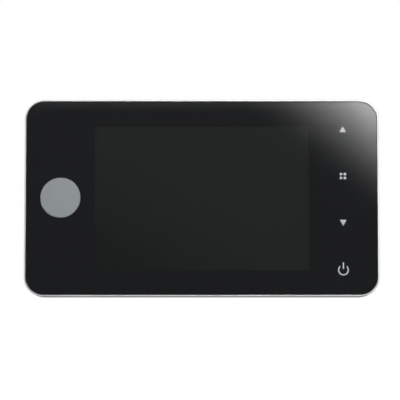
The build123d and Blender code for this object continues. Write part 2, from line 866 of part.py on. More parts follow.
# Battery cover with a tongue along both edges and ridges for the thumb
with BuildPart() as battery_cover:
    with BuildSketch(screen_plane(casing_back)):
        with Locations(((cover_left + cover_right) / 2, 0)):
            Rectangle(cover_right - cover_left, cover_height)
    extrude(amount=cover_thickness)
    with BuildSketch(screen_plane(cover_out - cover_tongue)):
        with Locations(((cover_left + cover_right) / 2, 0)):
            Rectangle(cover_right - cover_left, tongue_height)
    extrude(amount=cover_tongue)
    with BuildSketch(screen_plane(casing_back)):
        with Locations((cover_left + cover_ridge_inset + cover_ridges * cover_ridge_spacing / 2, 0)):
            with GridLocations(cover_ridge_spacing, 0, cover_ridges, 1):
                SlotOverall(cover_ridge_length, cover_ridge_width, rotation=90)
    extrude(amount=cover_ridge_depth, mode=Mode.SUBTRACT)
battery_cover.part.label = "battery_cover"
export_step(battery_cover.part, "parts/battery_cover.step")

# Door bracket: one plate with two walls bent forward and two lips bent outward
lip_out = bracket_front - bracket_thickness
bracket_route = [
    (-bracket_half_width - bracket_lip, -lip_out),
    (-bracket_half_width, -lip_out),
    (-bracket_half_width, -bracket_out),
    (bracket_half_width, -bracket_out),
    (bracket_half_width, -lip_out),
    (bracket_half_width + bracket_lip, -lip_out),
]
wide_bend = bracket_bend + bracket_thickness
bracket_blank = bent_strip(
    Plane.XY.offset((bracket_top - bracket_bottom) / 2),
    bracket_route,
    [bracket_bend, wide_bend, wide_bend, bracket_bend],
    bracket_thickness,
    Side.RIGHT,
    bracket_top + bracket_bottom,
)
with BuildPart() as door_bracket:
    add(bracket_blank)
    with BuildSketch(barrel_plane(bracket_out)):
        Circle(collar_radius + collar_gap)
    extrude(amount=bracket_thickness, mode=Mode.SUBTRACT)
door_bracket.part.label = "door_bracket"
export_step(door_bracket.part, "parts/door_bracket.step")

# Foam pad between the bracket and the door
with BuildPart() as bracket_pad:
    with BuildSketch(barrel_plane(0)):
        with Locations((0, (bracket_top - bracket_bottom) / 2)):
            Rectangle(2 * bracket_half_width, bracket_top + bracket_bottom)
        Circle(collar_radius + pad_hole_gap, mode=Mode.SUBTRACT)
    extrude(amount=pad_thickness)
bracket_pad.part.label = "bracket_pad"
export_step(bracket_pad.part, "parts/bracket_pad.step")

# Washer under the sleeve's flange
with BuildPart() as sleeve_washer:
    with BuildSketch(barrel_plane(washer_out)):
        Circle(flange_radius + washer_gap)
        Circle(collar_radius + washer_gap, mode=Mode.SUBTRACT)
    extrude(amount=washer_thickness)
sleeve_washer.part.label = "sleeve_washer"
export_step(sleeve_washer.part, "parts/sleeve_washer.step")

# Fixing sleeve: a flange with slots for a key, a collar in the bracket's hole and a long tube
sleeve_bore = barrel_radius + thread_gap
with BuildPart() as fixing_sleeve:
    with BuildSketch(Plane.XY):
        with BuildLine():
            Polyline(
                (sleeve_bore, -flange_front),
                (flange_radius, -flange_front),
                (flange_radius, -flange_out),
                (collar_radius, -flange_out),
                (collar_radius, 0),
                (bore_radius, 0),
                (bore_radius, sleeve_length),
                (sleeve_bore, sleeve_length),
                close=True,
            )
        make_face()
    revolve(axis=Axis.Y)
    chamfer(fixing_sleeve.faces().sort_by(Axis.Y)[0].edges(), sleeve_bevel)
    with BuildSketch(barrel_plane(flange_front)):
        with PolarLocations(flange_radius, flange_slots):
            Rectangle(2 * flange_slot_depth, flange_slot_width)
    extrude(amount=-flange_thickness, mode=Mode.SUBTRACT)
fixing_sleeve.part.label = "fixing_sleeve"
export_step(fixing_sleeve.part, "parts/fixing_sleeve.step")

# Camera barrel: a tube for the ribbon and a wider head for the lens
with BuildPart() as camera_barrel:
    with BuildSketch(Plane.XY):
        with BuildLine():
            Polyline(
                (barrel_bore, barrel_start),
                (barrel_radius, barrel_start),
                (barrel_radius, head_start),
                (bore_radius, head_start),
                (bore_radius, lip_start),
                (head_bore, lip_start),
                (head_bore, sensor_seat),
                (barrel_bore, sensor_seat),
                close=True,
            )
        make_face()
    revolve(axis=Axis.Y)
camera_barrel.part.label = "camera_barrel"
export_step(camera_barrel.part, "parts/camera_barrel.step")

# Outer bezel, pressed over the barrel's head
with BuildPart() as outer_bezel:
    with BuildSketch(Plane.XY):
        with BuildLine():
            Polyline(
                (bore_radius + fit_gap, bezel_start),
                (bezel_radius, bezel_start),
                (bezel_radius, lip_start + bezel_lip - bezel_bevel),
                (bezel_radius - bezel_bevel, lip_start + bezel_lip),
                (dome_radius + fit_gap, lip_start + bezel_lip),
                (dome_radius + fit_gap, lip_start),
                (bore_radius + fit_gap, lip_start),
                close=True,
            )
        make_face()
    revolve(axis=Axis.Y)
outer_bezel.part.label = "outer_bezel"
export_step(outer_bezel.part, "parts/outer_bezel.step")

# Gasket between the bezel and the street side of the door
with BuildPart() as door_gasket:
    with BuildSketch(barrel_plane(-door_thickness)):
        Circle(bezel_radius - gasket_inset)
        Circle(bore_radius + fit_gap, mode=Mode.SUBTRACT)
    extrude(amount=-gasket_thickness)
door_gasket.part.label = "door_gasket"
export_step(door_gasket.part, "parts/door_gasket.step")

# Sensor board and the image sensor on it
with BuildPart() as sensor_board:
    with BuildSketch(barrel_plane(-sensor_seat)):
        Circle(holder_radius)
    extrude(amount=-sensor_board_thickness)
sensor_board.part.label = "sensor_board"
export_step(sensor_board.part, "parts/sensor_board.step")

with BuildPart() as image_sensor:
    with BuildSketch(barrel_plane(-sensor_front)):
        Rectangle(sensor_width, sensor_height)
    extrude(amount=-sensor_thickness)
image_sensor.part.label = "image_sensor"
export_step(image_sensor.part, "parts/image_sensor.step")

# Lens holder: a pocket over the sensor, a stop and a bore for the lenses
with BuildPart() as lens_holder:
    with BuildSketch(Plane.XY):
        with BuildLine():
            Polyline(
                (holder_pocket, sensor_front),
                (holder_radius, sensor_front),
                (holder_radius, dome_start),
                (lens_radius + fit_gap, dome_start),
                (lens_radius + fit_gap, stop_start + stop_thickness),
                (stop_radius, stop_start + stop_thickness),
                (stop_radius, stop_start),
                (holder_pocket, stop_start),
                close=True,
            )
        make_face()
    revolve(axis=Axis.Y)
lens_holder.part.label = "lens_holder"
export_step(lens_holder.part, "parts/lens_holder.step")

# Infrared filter against the stop
with BuildPart() as infrared_filter:
    with BuildSketch(barrel_plane(-filter_start)):
        Circle(holder_pocket - fit_gap)
    extrude(amount=-filter_thickness)
infrared_filter.part.label = "infrared_filter"
export_step(infrared_filter.part, "parts/infrared_filter.step")

# Two inner lenses and the ring between them
rear_lens = lens_blank(lens_radius, rear_lens_start, rear_lens_edge, rear_lens_bulge, -rear_lens_dish)
rear_lens.label = "rear_lens"
export_step(rear_lens, "parts/rear_lens.step")

with BuildPart() as lens_spacer:
    with BuildSketch(barrel_plane(-spacer_start)):
        Circle(lens_radius)
        Circle(lens_radius - spacer_wall, mode=Mode.SUBTRACT)
    extrude(amount=-spacer_length)
lens_spacer.part.label = "lens_spacer"
export_step(lens_spacer.part, "parts/lens_spacer.step")

middle_lens = lens_blank(
    lens_radius, middle_lens_start, middle_lens_edge, -middle_lens_dish, -middle_lens_dish / 2
)
middle_lens.label = "middle_lens"
export_step(middle_lens, "parts/middle_lens.step")

# Front lens: a dome on a thin round rim
with BuildPart() as front_lens:
    add(lens_blank(dome_radius, dome_start, dome_rim, -dome_hollow, dome_height))
    with BuildSketch(barrel_plane(-dome_start)):
        Circle(dome_radius + dome_rim_width)
        Circle(dome_radius - dome_rim_width / 2, mode=Mode.SUBTRACT)
    extrude(amount=-dome_rim)
front_lens.part.label = "front_lens"
export_step(front_lens.part, "parts/front_lens.step")

# Seal ring between the front lens and the bezel's lip
with BuildPart() as lens_seal:
    with BuildSketch(barrel_plane(-seal_start)):
        Circle(dome_radius + dome_rim_width)
        Circle(dome_radius + 2 * fit_gap, mode=Mode.SUBTRACT)
    extrude(amount=-seal_thickness)
lens_seal.part.label = "lens_seal"
export_step(lens_seal.part, "parts/lens_seal.step")

# Plug of the camera's ribbon, in the socket from below
with BuildPart() as ribbon_plug:
    with BuildSketch(barrel_plane(plug_out - plug_thickness / 2)):
        with Locations((0, plug_foot)):
            Rectangle(plug_width, plug_length, align=(Align.CENTER, Align.MIN))
    extrude(amount=plug_thickness)
ribbon_plug.part.label = "ribbon_plug"
export_step(ribbon_plug.part, "parts/ribbon_plug.step")

# Camera ribbon: out of the barrel, down in a slack loop and up to the plug
ribbon_half = ribbon_thickness / 2
ribbon_route = [
    (-sensor_seat, -ribbon_half),
    (ribbon_out - ribbon_half, -ribbon_half),
    (ribbon_out - ribbon_half, -ribbon_drop),
    (plug_out + ribbon_half, -ribbon_drop),
    (plug_out + ribbon_half, plug_foot),
]
camera_ribbon = bent_strip(
    side_plane(0),
    ribbon_route,
    [ribbon_bend, ribbon_turn, ribbon_turn],
    ribbon_thickness,
    Side.LEFT,
    ribbon_width,
)
camera_ribbon.label = "camera_ribbon"
export_step(camera_ribbon, "parts/camera_ribbon.step")
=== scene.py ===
import math

import bpy
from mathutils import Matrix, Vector


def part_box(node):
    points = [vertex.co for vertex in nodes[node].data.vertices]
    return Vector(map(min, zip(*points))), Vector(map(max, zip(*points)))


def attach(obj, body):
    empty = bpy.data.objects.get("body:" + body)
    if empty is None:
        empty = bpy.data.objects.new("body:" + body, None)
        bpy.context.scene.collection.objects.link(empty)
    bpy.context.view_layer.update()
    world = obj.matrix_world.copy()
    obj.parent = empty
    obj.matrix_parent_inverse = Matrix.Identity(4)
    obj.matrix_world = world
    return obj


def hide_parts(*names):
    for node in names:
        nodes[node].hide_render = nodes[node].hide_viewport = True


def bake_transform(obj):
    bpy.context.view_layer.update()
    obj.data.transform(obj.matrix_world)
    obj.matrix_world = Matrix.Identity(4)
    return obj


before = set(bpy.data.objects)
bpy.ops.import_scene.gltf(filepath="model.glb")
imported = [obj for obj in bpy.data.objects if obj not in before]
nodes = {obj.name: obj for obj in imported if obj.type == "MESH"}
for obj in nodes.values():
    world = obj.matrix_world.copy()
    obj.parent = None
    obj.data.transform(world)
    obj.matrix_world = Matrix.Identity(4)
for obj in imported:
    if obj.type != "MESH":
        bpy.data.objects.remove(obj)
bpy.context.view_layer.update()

mm = 0.001
tiny = 0.001 * mm                          # points nearer than this count as one
facing = (math.radians(90), 0.0, 0.0)      # turns what lies flat towards the room
white = (1.0, 1.0, 1.0, 1.0)
print("frame loaded")


# shader helpers

class Wire:  # a shader socket that takes part in plain arithmetic
    def __init__(self, tree, socket):
        self.tree = tree
        self.socket = socket

    def maths(self, operation, first, second=0.0, clamp=False):
        node = self.tree.nodes.new("ShaderNodeMath")
        node.operation = operation
        node.use_clamp = clamp
        for slot, value in zip(node.inputs, (first, second)):
            if isinstance(value, Wire):
                self.tree.links.new(value.socket, slot)
            else:
                slot.default_value = value
        return Wire(self.tree, node.outputs[0])

    def __add__(self, other):
        return self.maths("ADD", self, other)

    def __radd__(self, other):
        return self.maths("ADD", other, self)

    def __sub__(self, other):
        return self.maths("SUBTRACT", self, other)

    def __rsub__(self, other):
        return self.maths("SUBTRACT", other, self)

    def __mul__(self, other):
        return self.maths("MULTIPLY", self, other)

    def __rmul__(self, other):
        return self.maths("MULTIPLY", other, self)

    def __truediv__(self, other):
        return self.maths("DIVIDE", self, other)

    def __pow__(self, other):
        return self.maths("POWER", self, other)

    def clip(self):  # held between 0 and 1
        return self.maths("ADD", self, 0.0, clamp=True)

    def above(self, limit):
        return self.maths("GREATER_THAN", self, limit)

    def below(self, limit):
        return self.maths("LESS_THAN", self, limit)

    def sine(self):
        return self.maths("SINE", self)

    def size(self):
        return self.maths("ABSOLUTE", self)


class Nodes:  # the node tree of a material or of the world
    def __init__(self, tree):
        self.tree = tree

    def add(self, kind, settings=None, sockets=None, output=0):
        node = self.tree.nodes.new(kind)
        for name, value in (settings or {}).items():
            setattr(node, name, value)
        for name, value in (sockets or {}).items():
            if isinstance(value, Wire):
                self.tree.links.new(value.socket, node.inputs[name])
            else:
                node.inputs[name].default_value = value
        return Wire(self.tree, node.outputs[output]) if node.outputs else None

    def ray(self, kind):
        return self.add("ShaderNodeLightPath", output=kind)

    def split(self, vector):
        return [
            self.add("ShaderNodeSeparateXYZ", sockets={0: vector}, output=axis) for axis in range(3)
        ]

    def place(self):  # the place on the piece in metres
        return self.add("ShaderNodeTexCoord", output="Object")

    def axes(self):
        return self.split(self.place())

    def noise(self, scale, detail=2.0):
        return self.add(
            "ShaderNodeTexNoise", sockets={"Vector": self.place(), "Scale": scale, "Detail": detail}
        )

    def rings(self, density, x=0.0, z=0.0):  # fine turning marks round an axis along the depth
        across, _, up = self.axes()
        across, up = across - x, up - z
        radius = (across * across + up * up) ** 0.5
        return self.add(
            "ShaderNodeTexNoise", {"noise_dimensions": "1D"},
            {"W": radius * density, "Scale": 1.0, "Detail": 3.0},
        )

    def mixColours(self, share, first, second):  # the first may be a colour or a wire
        start = first if isinstance(first, Wire) else (*first, 1.0)
        return self.add(
            "ShaderNodeMix", {"data_type": "RGBA"}, {0: share, 6: start, 7: (*second, 1.0)},
            output=2,
        )

    def bump(self, height, depth):  # the depth is in mm
        return self.add(
            "ShaderNodeBump", sockets={"Strength": 1.0, "Distance": depth * mm, "Height": height}
        )


class Finish(Nodes):  # one surface finish: a Principled shader and what drives it
    def __init__(self, name, colour, roughness, **sockets):
        self.material = bpy.data.materials.new(name)
        self.material.use_nodes = True
        super().__init__(self.material.node_tree)
        self.skin = next(n for n in self.tree.nodes if n.type == "BSDF_PRINCIPLED")
        self.skin.inputs["Base Color"].default_value = (*colour, 1.0)
        self.skin.inputs["Roughness"].default_value = roughness
        for socket, value in sockets.items():
            self.skin.inputs[socket.replace("_", " ")].default_value = value

    def drive(self, **sockets):
        for socket, value in sockets.items():
            self.tree.links.new(value.socket, self.skin.inputs[socket.replace("_", " ")])
        return self

    def dress(self, tones, patches, grain, least, spread, depth):
        # the tone changes in patches, roughness and height with the grain
        return self.drive(
            Base_Color=self.mixColours(patches, *tones),
            Roughness=least + grain * spread,
            Normal=self.bump(grain, depth),
        )

    def showInstead(self, shader):
        output = next(n for n in self.tree.nodes if n.type == "OUTPUT_MATERIAL")
        self.tree.links.new(shader.socket, output.inputs["Surface"])


# modelling helpers

def centreOf(node):
    low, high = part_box(node)
    return (low + high) / 2


def deselectAll():
    if bpy.context.object and bpy.context.object.mode != "OBJECT":
        bpy.ops.object.mode_set(mode="OBJECT")
    bpy.ops.object.select_all(action="DESELECT")


def takeUp(piece):  # the only selected piece, and the active one
    deselectAll()
    piece.select_set(True)
    bpy.context.view_layer.objects.active = piece
    return piece


def editAll(piece):  # into edit mode, with the whole mesh selected
    takeUp(piece)
    bpy.ops.object.mode_set(mode="EDIT")
    bpy.ops.mesh.select_all(action="SELECT")


def shiftMesh(piece, shift):
    editAll(piece)
    bpy.ops.transform.translate(value=shift)
    bpy.ops.object.mode_set(mode="OBJECT")


def turnMesh(piece, degrees, axis, centre):
    editAll(piece)
    bpy.ops.transform.rotate(value=math.radians(degrees), orient_axis=axis, center_override=centre)
    bpy.ops.object.mode_set(mode="OBJECT")


def selectPoints(piece, taken):  # taken says by its number whether a point is selected
    bpy.ops.object.mode_set(mode="OBJECT")
    for part in (*piece.data.polygons, *piece.data.edges):
        part.select = False
    for point in piece.data.vertices:
        point.select = taken(point.index)
    bpy.ops.object.mode_set(mode="EDIT")
    bpy.ops.mesh.select_mode(type="VERT")


def selectRows(piece, first, last):
    selectPoints(piece, lambda index: first <= index < last)


def applyModifier(piece, kind, **settings):
    takeUp(piece)
    modifier = piece.modifiers.new(kind.lower(), kind)
    for name, value in settings.items():
        setattr(modifier, name, value)
    bpy.ops.object.modifier_apply(modifier=modifier.name)


def roundEdges(piece, width, segments=2, angle=35):  # the width is in mm
    applyModifier(
        piece, "BEVEL", width=width * mm, segments=segments, limit_method="ANGLE",
        angle_limit=math.radians(angle), use_clamp_overlap=True,
    )


flatWeight = 90     # how far wide faces pull the shading flat


def smoothShade(piece, angle=30):
    takeUp(piece)
    bpy.ops.object.shade_smooth_by_angle(angle=math.radians(angle))
    applyModifier(
        piece, "WEIGHTED_NORMAL", keep_sharp=True, weight=flatWeight, mode="FACE_AREA"
    )


def settle(piece):  # puts the piece's place into its mesh
    takeUp(piece)
    bpy.ops.object.transform_apply(location=True, rotation=True, scale=True)


def closeUp(piece):  # merges doubles and turns the faces outwards
    if piece.mode == "EDIT":
        bpy.ops.mesh.select_all(action="SELECT")
    else:
        editAll(piece)
    bpy.ops.mesh.remove_doubles(threshold=tiny)
    bpy.ops.mesh.normals_make_consistent(inside=False)
    bpy.ops.object.mode_set(mode="OBJECT")
    return piece


def wear(piece, finish):
    piece.data.materials.clear()
    piece.data.materials.append(finish.material)


def finishPiece(piece, finish, body, node=None, angle=30):
    settle(piece)
    smoothShade(piece, angle)
    wear(piece, finish)
    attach(piece, body)
    if node:
        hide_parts(node)
    return piece


def copyNode(node, name):  # a merged copy of a CAD node's mesh, for finer edges
    deselectAll()
    piece = bpy.data.objects.new(name, nodes[node].data.copy())
    bpy.context.scene.collection.objects.link(piece)
    editAll(piece)
    bpy.ops.mesh.remove_doubles(threshold=2 * tiny)
    bpy.ops.mesh.customdata_custom_splitnormals_clear()
    bpy.ops.object.mode_set(mode="OBJECT")
    return piece


def softened(node, name, finish, body, bevel=0.0, segments=2, angle=30):
    piece = copyNode(node, name)
    if bevel:
        roundEdges(piece, bevel, segments)
        editAll(piece)
        bpy.ops.mesh.dissolve_degenerate(threshold=tiny)
        bpy.ops.object.mode_set(mode="OBJECT")
    return finishPiece(piece, finish, body, node, angle)


def cutWith(piece, cutter):
    applyModifier(piece, "BOOLEAN", object=cutter, operation="DIFFERENCE", solver="EXACT")
    bpy.data.objects.remove(cutter)


def joinPieces(pieces, name):
    deselectAll()
    for piece in pieces:
        piece.select_set(True)
    bpy.context.view_layer.objects.active = pieces[0]
    bpy.ops.object.join()
    pieces[0].name = name
    return pieces[0]


def copyPiece(piece, shift):
    twin = piece.copy()
    twin.data = piece.data.copy()
    bpy.context.scene.collection.objects.link(twin)
    takeUp(twin)
    bpy.ops.transform.translate(value=shift)
    settle(twin)
    return twin


def atFourCorners(piece, across, up):  # the lower left one, and its copies at the others
    return [piece] + [
        copyPiece(piece, (right * across, 0.0, top * up)) for right, top in ((1, 0), (0, 1), (1, 1))
    ]


def addBlock(centre, size):
    deselectAll()
    bpy.ops.mesh.primitive_cube_add(size=1.0, location=centre)
    block = bpy.context.object
    block.scale = size
    settle(block)
    return block


def addRod(name, radius, start, end, across=0.0, up=0.0, sides=48):  # a rod along the depth
    deselectAll()
    bpy.ops.mesh.primitive_cylinder_add(
        vertices=sides, radius=radius * mm, depth=abs(end - start) * mm,
        location=(across, (start + end) / 2 * mm, up), rotation=facing,
    )
    rod = bpy.context.object
    rod.name = name
    settle(rod)
    return rod


def turned(name, profile, sides=72, across=0.0, up=0.0, caps=False, closed=False):
    # a round piece: a circle is extruded and scaled along the profile of (depth, radius) in mm
    deselectAll()
    depth, radius = profile[0]
    bpy.ops.mesh.primitive_circle_add(
        vertices=sides, radius=radius * mm, location=(across, depth * mm, up), rotation=facing
    )
    piece = bpy.context.object
    piece.name = name
    settle(piece)
    bpy.ops.object.mode_set(mode="EDIT")
    bpy.ops.mesh.select_mode(type="EDGE")
    bpy.ops.mesh.select_all(action="SELECT")
    if caps:
        bpy.ops.mesh.duplicate()
        bpy.ops.mesh.edge_face_add()
        selectRows(piece, 0, sides)
        bpy.ops.mesh.select_mode(type="EDGE")
    for nextDepth, nextRadius in (*profile[1:], *([profile[0]] if closed else [])):
        bpy.ops.mesh.extrude_region_move(
            TRANSFORM_OT_translate={"value": (0.0, (nextDepth - depth) * mm, 0.0)}
        )
        share = nextRadius / radius
        bpy.ops.transform.resize(value=(share, 1.0, share), center_override=(across, 0.0, up))
        depth, radius = nextDepth, nextRadius
    if caps:
        bpy.ops.mesh.edge_face_add()
    return closeUp(piece)


# the studio: camera, white world, soft lamps, floor and a soft light behind the camera

camera = {
    "target": (-0.03268, -0.025, -0.00091),
    "distance": 0.9991,
    "below": 5.9,                # degrees
    "lens": 228.1, "sensor": 36.0,
    "clip": (0.05, 20.0),
}


def setCamera():
    aim = Vector(camera["target"])
    below = math.radians(camera["below"])
    back = Vector((0.0, -math.cos(below), -math.sin(below)))
    bpy.ops.object.camera_add(location=aim + back * camera["distance"])
    shot = bpy.context.object
    shot.name = "photoCamera"
    shot.data.lens = camera["lens"]
    shot.data.sensor_width = camera["sensor"]
    shot.data.clip_start, shot.data.clip_end = camera["clip"]
    shot.rotation_mode = "QUATERNION"
    shot.rotation_quaternion = (-back).to_track_quat("-Z", "Y")
    bpy.context.scene.camera = shot
    bpy.context.scene.view_settings.view_transform = "Standard"


world = {
    "level": 0.74,                                            # light that reaches plain surfaces
    "white": 1.0,                                             # what the camera sees
    "frontFrom": 0.55, "frontWithin": 0.25,                   # where gloss sees a darker room
    "dark": 0.098, "darkRise": 0.248, "riseFrom": -0.05,      # that room, paler higher up
    "glow": 0.3, "glowFrom": 0.1365, "glowWithin": 0.005,     # a lighter strip above it
    "low": 0.2, "lowFrom": 0.1, "lowWithin": 0.15,            # what gloss sees under the horizon
}


def setWorld():
    sky = bpy.data.worlds.new("studio")
    bpy.context.scene.world = sky
    sky.use_nodes = True
    sky.node_tree.nodes.clear()
    net = Nodes(sky.node_tree)
    _, depth, up = net.split(net.add("ShaderNodeTexCoord", output="Generated"))
    inFront = ((0.0 - depth - world["frontFrom"]) / world["frontWithin"]).clip()
    dark = world["dark"] + (up - world["riseFrom"]).clip() * world["darkRise"]
    dark = dark + ((up - world["glowFrom"]) / world["glowWithin"]).clip() ** 2.0 * world["glow"]
    gloss = world["white"] - inFront * (world["white"] - dark)
    under = ((world["lowFrom"] - up) / world["lowWithin"]).clip() * (1.0 - inFront)
    gloss = gloss * (1.0 - under * (1.0 - world["low"]))
    mirrored = (net.ray("Is Glossy Ray") + net.ray("Is Transmission Ray")).clip()
    mirrored = mirrored * (1.0 - net.ray("Diffuse Depth").clip())
    unseen = mirrored * gloss + (1.0 - mirrored) * world["level"]
    seen = net.ray("Is Camera Ray")
    strength = seen * world["white"] + (1.0 - seen) * unseen
    background = net.add("ShaderNodeBackground", sockets={"Color": white, "Strength": strength})
    net.add("ShaderNodeOutputWorld", sockets={"Surface": background})


lamps = [
    {"name": "keyLamp", "at": (0.9, -1.3, 1.5), "size": 1.0, "power": 11.0},
    {"name": "fillLamp", "at": (-1.5, -0.9, 0.5), "size": 1.2, "power": 6.0},
    {"name": "backLamp", "at": (-0.7, 1.5, 1.2), "size": 1.0, "power": 10.0},
    {"name": "backFill", "at": (1.3, 1.1, 0.2), "size": 1.0, "power": 4.0},
]


def setLamps():
    for lamp in lamps:
        bpy.ops.object.light_add(type="AREA", location=lamp["at"])
        light = bpy.context.object
        light.name = lamp["name"]
        light.data.size = lamp["size"]
        light.data.energy = lamp["power"]
        light.rotation_mode = "QUATERNION"
        light.rotation_quaternion = (-Vector(lamp["at"])).to_track_quat("-Z", "Y")


floor = {
    "height": -1.45, "width": 12.0,
    "colour": (0.36, 0.36, 0.36), "roughness": 0.8,
    "shown": 1.1, "shownShare": 0.85,                # how pale the camera sees it
    "dark": (0.13, 0.13, 0.13),                      # what gloss sees of it in front of the door
    "darkFrom": 0.3, "darkWithin": 1.0,
}


def setFloor():
    deselectAll()
    bpy.ops.mesh.primitive_plane_add(size=floor["width"], location=(0.0, 0.0, floor["height"]))
    ground = bpy.context.object
    ground.name = "paleFloor"
    settle(ground)
    finish = Finish("floorPaint", floor["colour"], floor["roughness"])
    seen, through = finish.ray("Is Camera Ray"), finish.ray("Is Transmission Ray")
    mirrored = finish.ray("Is Glossy Ray")
    inFront = ((0.0 - finish.axes()[1] - floor["darkFrom"]) / floor["darkWithin"]).clip()
    shown = (seen + through * (1.0 - inFront)).clip() * floor["shownShare"]
    darkShare = inFront * (through + mirrored).clip() * (1.0 - seen)
    finish.drive(Base_Color=finish.mixColours(darkShare, floor["colour"], floor["dark"]))
    pale = finish.add("ShaderNodeEmission", sockets={"Color": white, "Strength": floor["shown"]})
    skin = Wire(finish.tree, finish.skin.outputs[0])
    finish.showInstead(finish.add("ShaderNodeMixShader", sockets={0: shown, 1: skin, 2: pale}))
    wear(ground, finish)


card = {
    "depth": -1.5,
    "x": (-0.25, 0.9), "z": (-0.05, 0.95),
    "edge": (0.0045, 0.2356),        # a point on the line where the light starts
    "uphill": (0.632, 0.775),        # across that line
    "reach": 0.0825,
    "strength": 4.6,
    "top": 1.35,                     # where the light stops growing, in reaches
    "fall": 0.35, "nearFall": 0.1,   # how wide it fades at the far and at the near edges
}


def setCard():
    deselectAll()
    left, right = card["x"]
    low, high = card["z"]
    centre = ((left + right) / 2, card["depth"], (low + high) / 2)
    bpy.ops.mesh.primitive_plane_add(size=1.0, location=centre, rotation=facing)
    board = bpy.context.object
    board.name = "softCard"
    board.scale = (right - left, high - low, 1.0)
    settle(board)
    finish = Finish("softCardLight", (0.0, 0.0, 0.0), 1.0)
    across, _, up = finish.axes()
    (startX, startZ), (slopeX, slopeZ) = card["edge"], card["uphill"]
    run = ((across - startX) * slopeX + (up - startZ) * slopeZ) / card["reach"]
    rise = (run / card["top"]).clip()
    rise = rise * rise * rise * card["top"] ** 3
    edges = (
        ((right - across) / card["fall"]).clip()
        * ((high - up) / card["fall"]).clip()
        * ((across - left) / card["nearFall"]).clip()
        * ((up - low) / card["nearFall"]).clip()
    )
    mirrored = finish.ray("Is Glossy Ray") * (1.0 - finish.ray("Diffuse Depth").clip())
    strength = rise * edges * mirrored * card["strength"]
    glow = finish.add("ShaderNodeEmission", sockets={"Color": white, "Strength": strength})
    clear = finish.add("ShaderNodeBsdfTransparent")
    finish.showInstead(finish.add("ShaderNodeAddShader", sockets={0: clear, 1: glow}))
    wear(board, finish)


setCamera()
setWorld()
setLamps()
setFloor()
setCard()
print("studio set")


# finishes

def clearCover():
    finish = Finish("clearCover", (0.97, 0.98, 0.98), 0.02, Transmission_Weight=1.0, IOR=1.49)
    return finish.drive(Roughness=0.003 + finish.noise(240.0) * 0.004)


def blackPrint():
    finish = Finish("blackPrint", (0.006, 0.006, 0.0065), 0.6, Specular_IOR_Level=0.0)
    speckle = finish.noise(900.0)
    return finish.drive(
        Base_Color=finish.mixColours(speckle, (0.0064, 0.0076, 0.0104), (0.0072, 0.0084, 0.0114))
    )


paintedKeyGlow = 0.2     # painted light: the symbols glow a little of their own, standing in for light that reaches them through the clear sheet


def palePrint():
    finish = Finish(
        "palePrint", (0.9, 0.91, 0.92), 0.55, Specular_IOR_Level=0.2, Emission_Strength=paintedKeyGlow
    )
    speckle = finish.noise(2400.0)
    return finish.drive(
        Base_Color=finish.mixColours(speckle, (0.84, 0.85, 0.86), (0.90, 0.91, 0.92)),
        # painted light: the colour of the symbols' glow, pale with a fine speckle
        Emission_Color=finish.mixColours(speckle, (0.94, 0.96, 0.98), (1.0, 1.0, 1.0)),
    )


def silverDisc():
    finish = Finish("silverDisc", (0.33, 0.35, 0.35), 0.42, Metallic=0.35)
    centre = centreOf("blank_disc")
    tones = (0.185, 0.202, 0.204), (0.222, 0.240, 0.242)
    grain = finish.rings(9000.0, centre.x, centre.z)
    return finish.dress(tones, finish.noise(5200.0), grain, 0.34, 0.16, 0.003)


def satinSilver():
    finish = Finish("satinSilver", (0.63, 0.64, 0.65), 0.4, Metallic=0.36, Specular_IOR_Level=0.3)
    tones = (0.59, 0.60, 0.61), (0.67, 0.68, 0.69)
    grain = finish.noise(6000.0)
    return finish.dress(tones, grain, grain, 0.36, 0.12, 0.003)


display = {
    "tone": (0.0218, 0.0276, 0.0252),
    "paintedShadeTone": (0.0085, 0.0120, 0.0108),       # painted shade: darker towards its lower left corner, away from the lamps and the soft card
    "shadeReach": 1.27, "shadeAcross": 0.95,
}


def darkDisplay():
    low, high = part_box("lcd_glass")
    finish = Finish("darkDisplay", (0.010, 0.012, 0.0105), 0.25, Specular_IOR_Level=0.0)
    across, _, up = finish.axes()
    right = (across - low.x) / (high.x - low.x)
    top = (up - low.z) / (high.z - low.z)
    # painted shade: how much of the darker tone is used, rising towards the lower left corner
    shadeShare = (display["shadeReach"] - top - right * display["shadeAcross"]).clip()
    return finish.drive(
        Base_Color=finish.mixColours(shadeShare * shadeShare, display["tone"], display["paintedShadeTone"])
    )


plasticPatches, metalPatches = 35.0, 120.0     # how finely the tone changes


def mouldedPlastic(name, dark, light, roughness, density, depth):
    finish = Finish(name, dark, roughness)
    grain, patches = finish.noise(density, 3.0), finish.noise(plasticPatches)
    return finish.dress((dark, light), patches, grain, roughness - 0.06, 0.12, depth)


def platedMetal(name, dark, light, roughness, density, depth):
    finish = Finish(name, dark, roughness, Metallic=1.0)
    grain, patches = finish.noise(density), finish.noise(metalPatches)
    return finish.dress((dark, light), patches, grain, roughness - 0.05, 0.14, depth)


def turnedMetal(name, dark, light, roughness, density, metallic):  # turned, then satin plated
    finish = Finish(name, dark, roughness, Metallic=metallic)
    grain, patches = finish.rings(density), finish.noise(metalPatches)
    return finish.dress((dark, light), patches, grain, roughness - 0.04, 0.1, 0.0025)


def tintedGlass(name, colour):
    finish = Finish(name, colour, 0.0, Transmission_Weight=1.0, IOR=1.52)
    return finish.drive(Roughness=finish.noise(700.0) * 0.01)


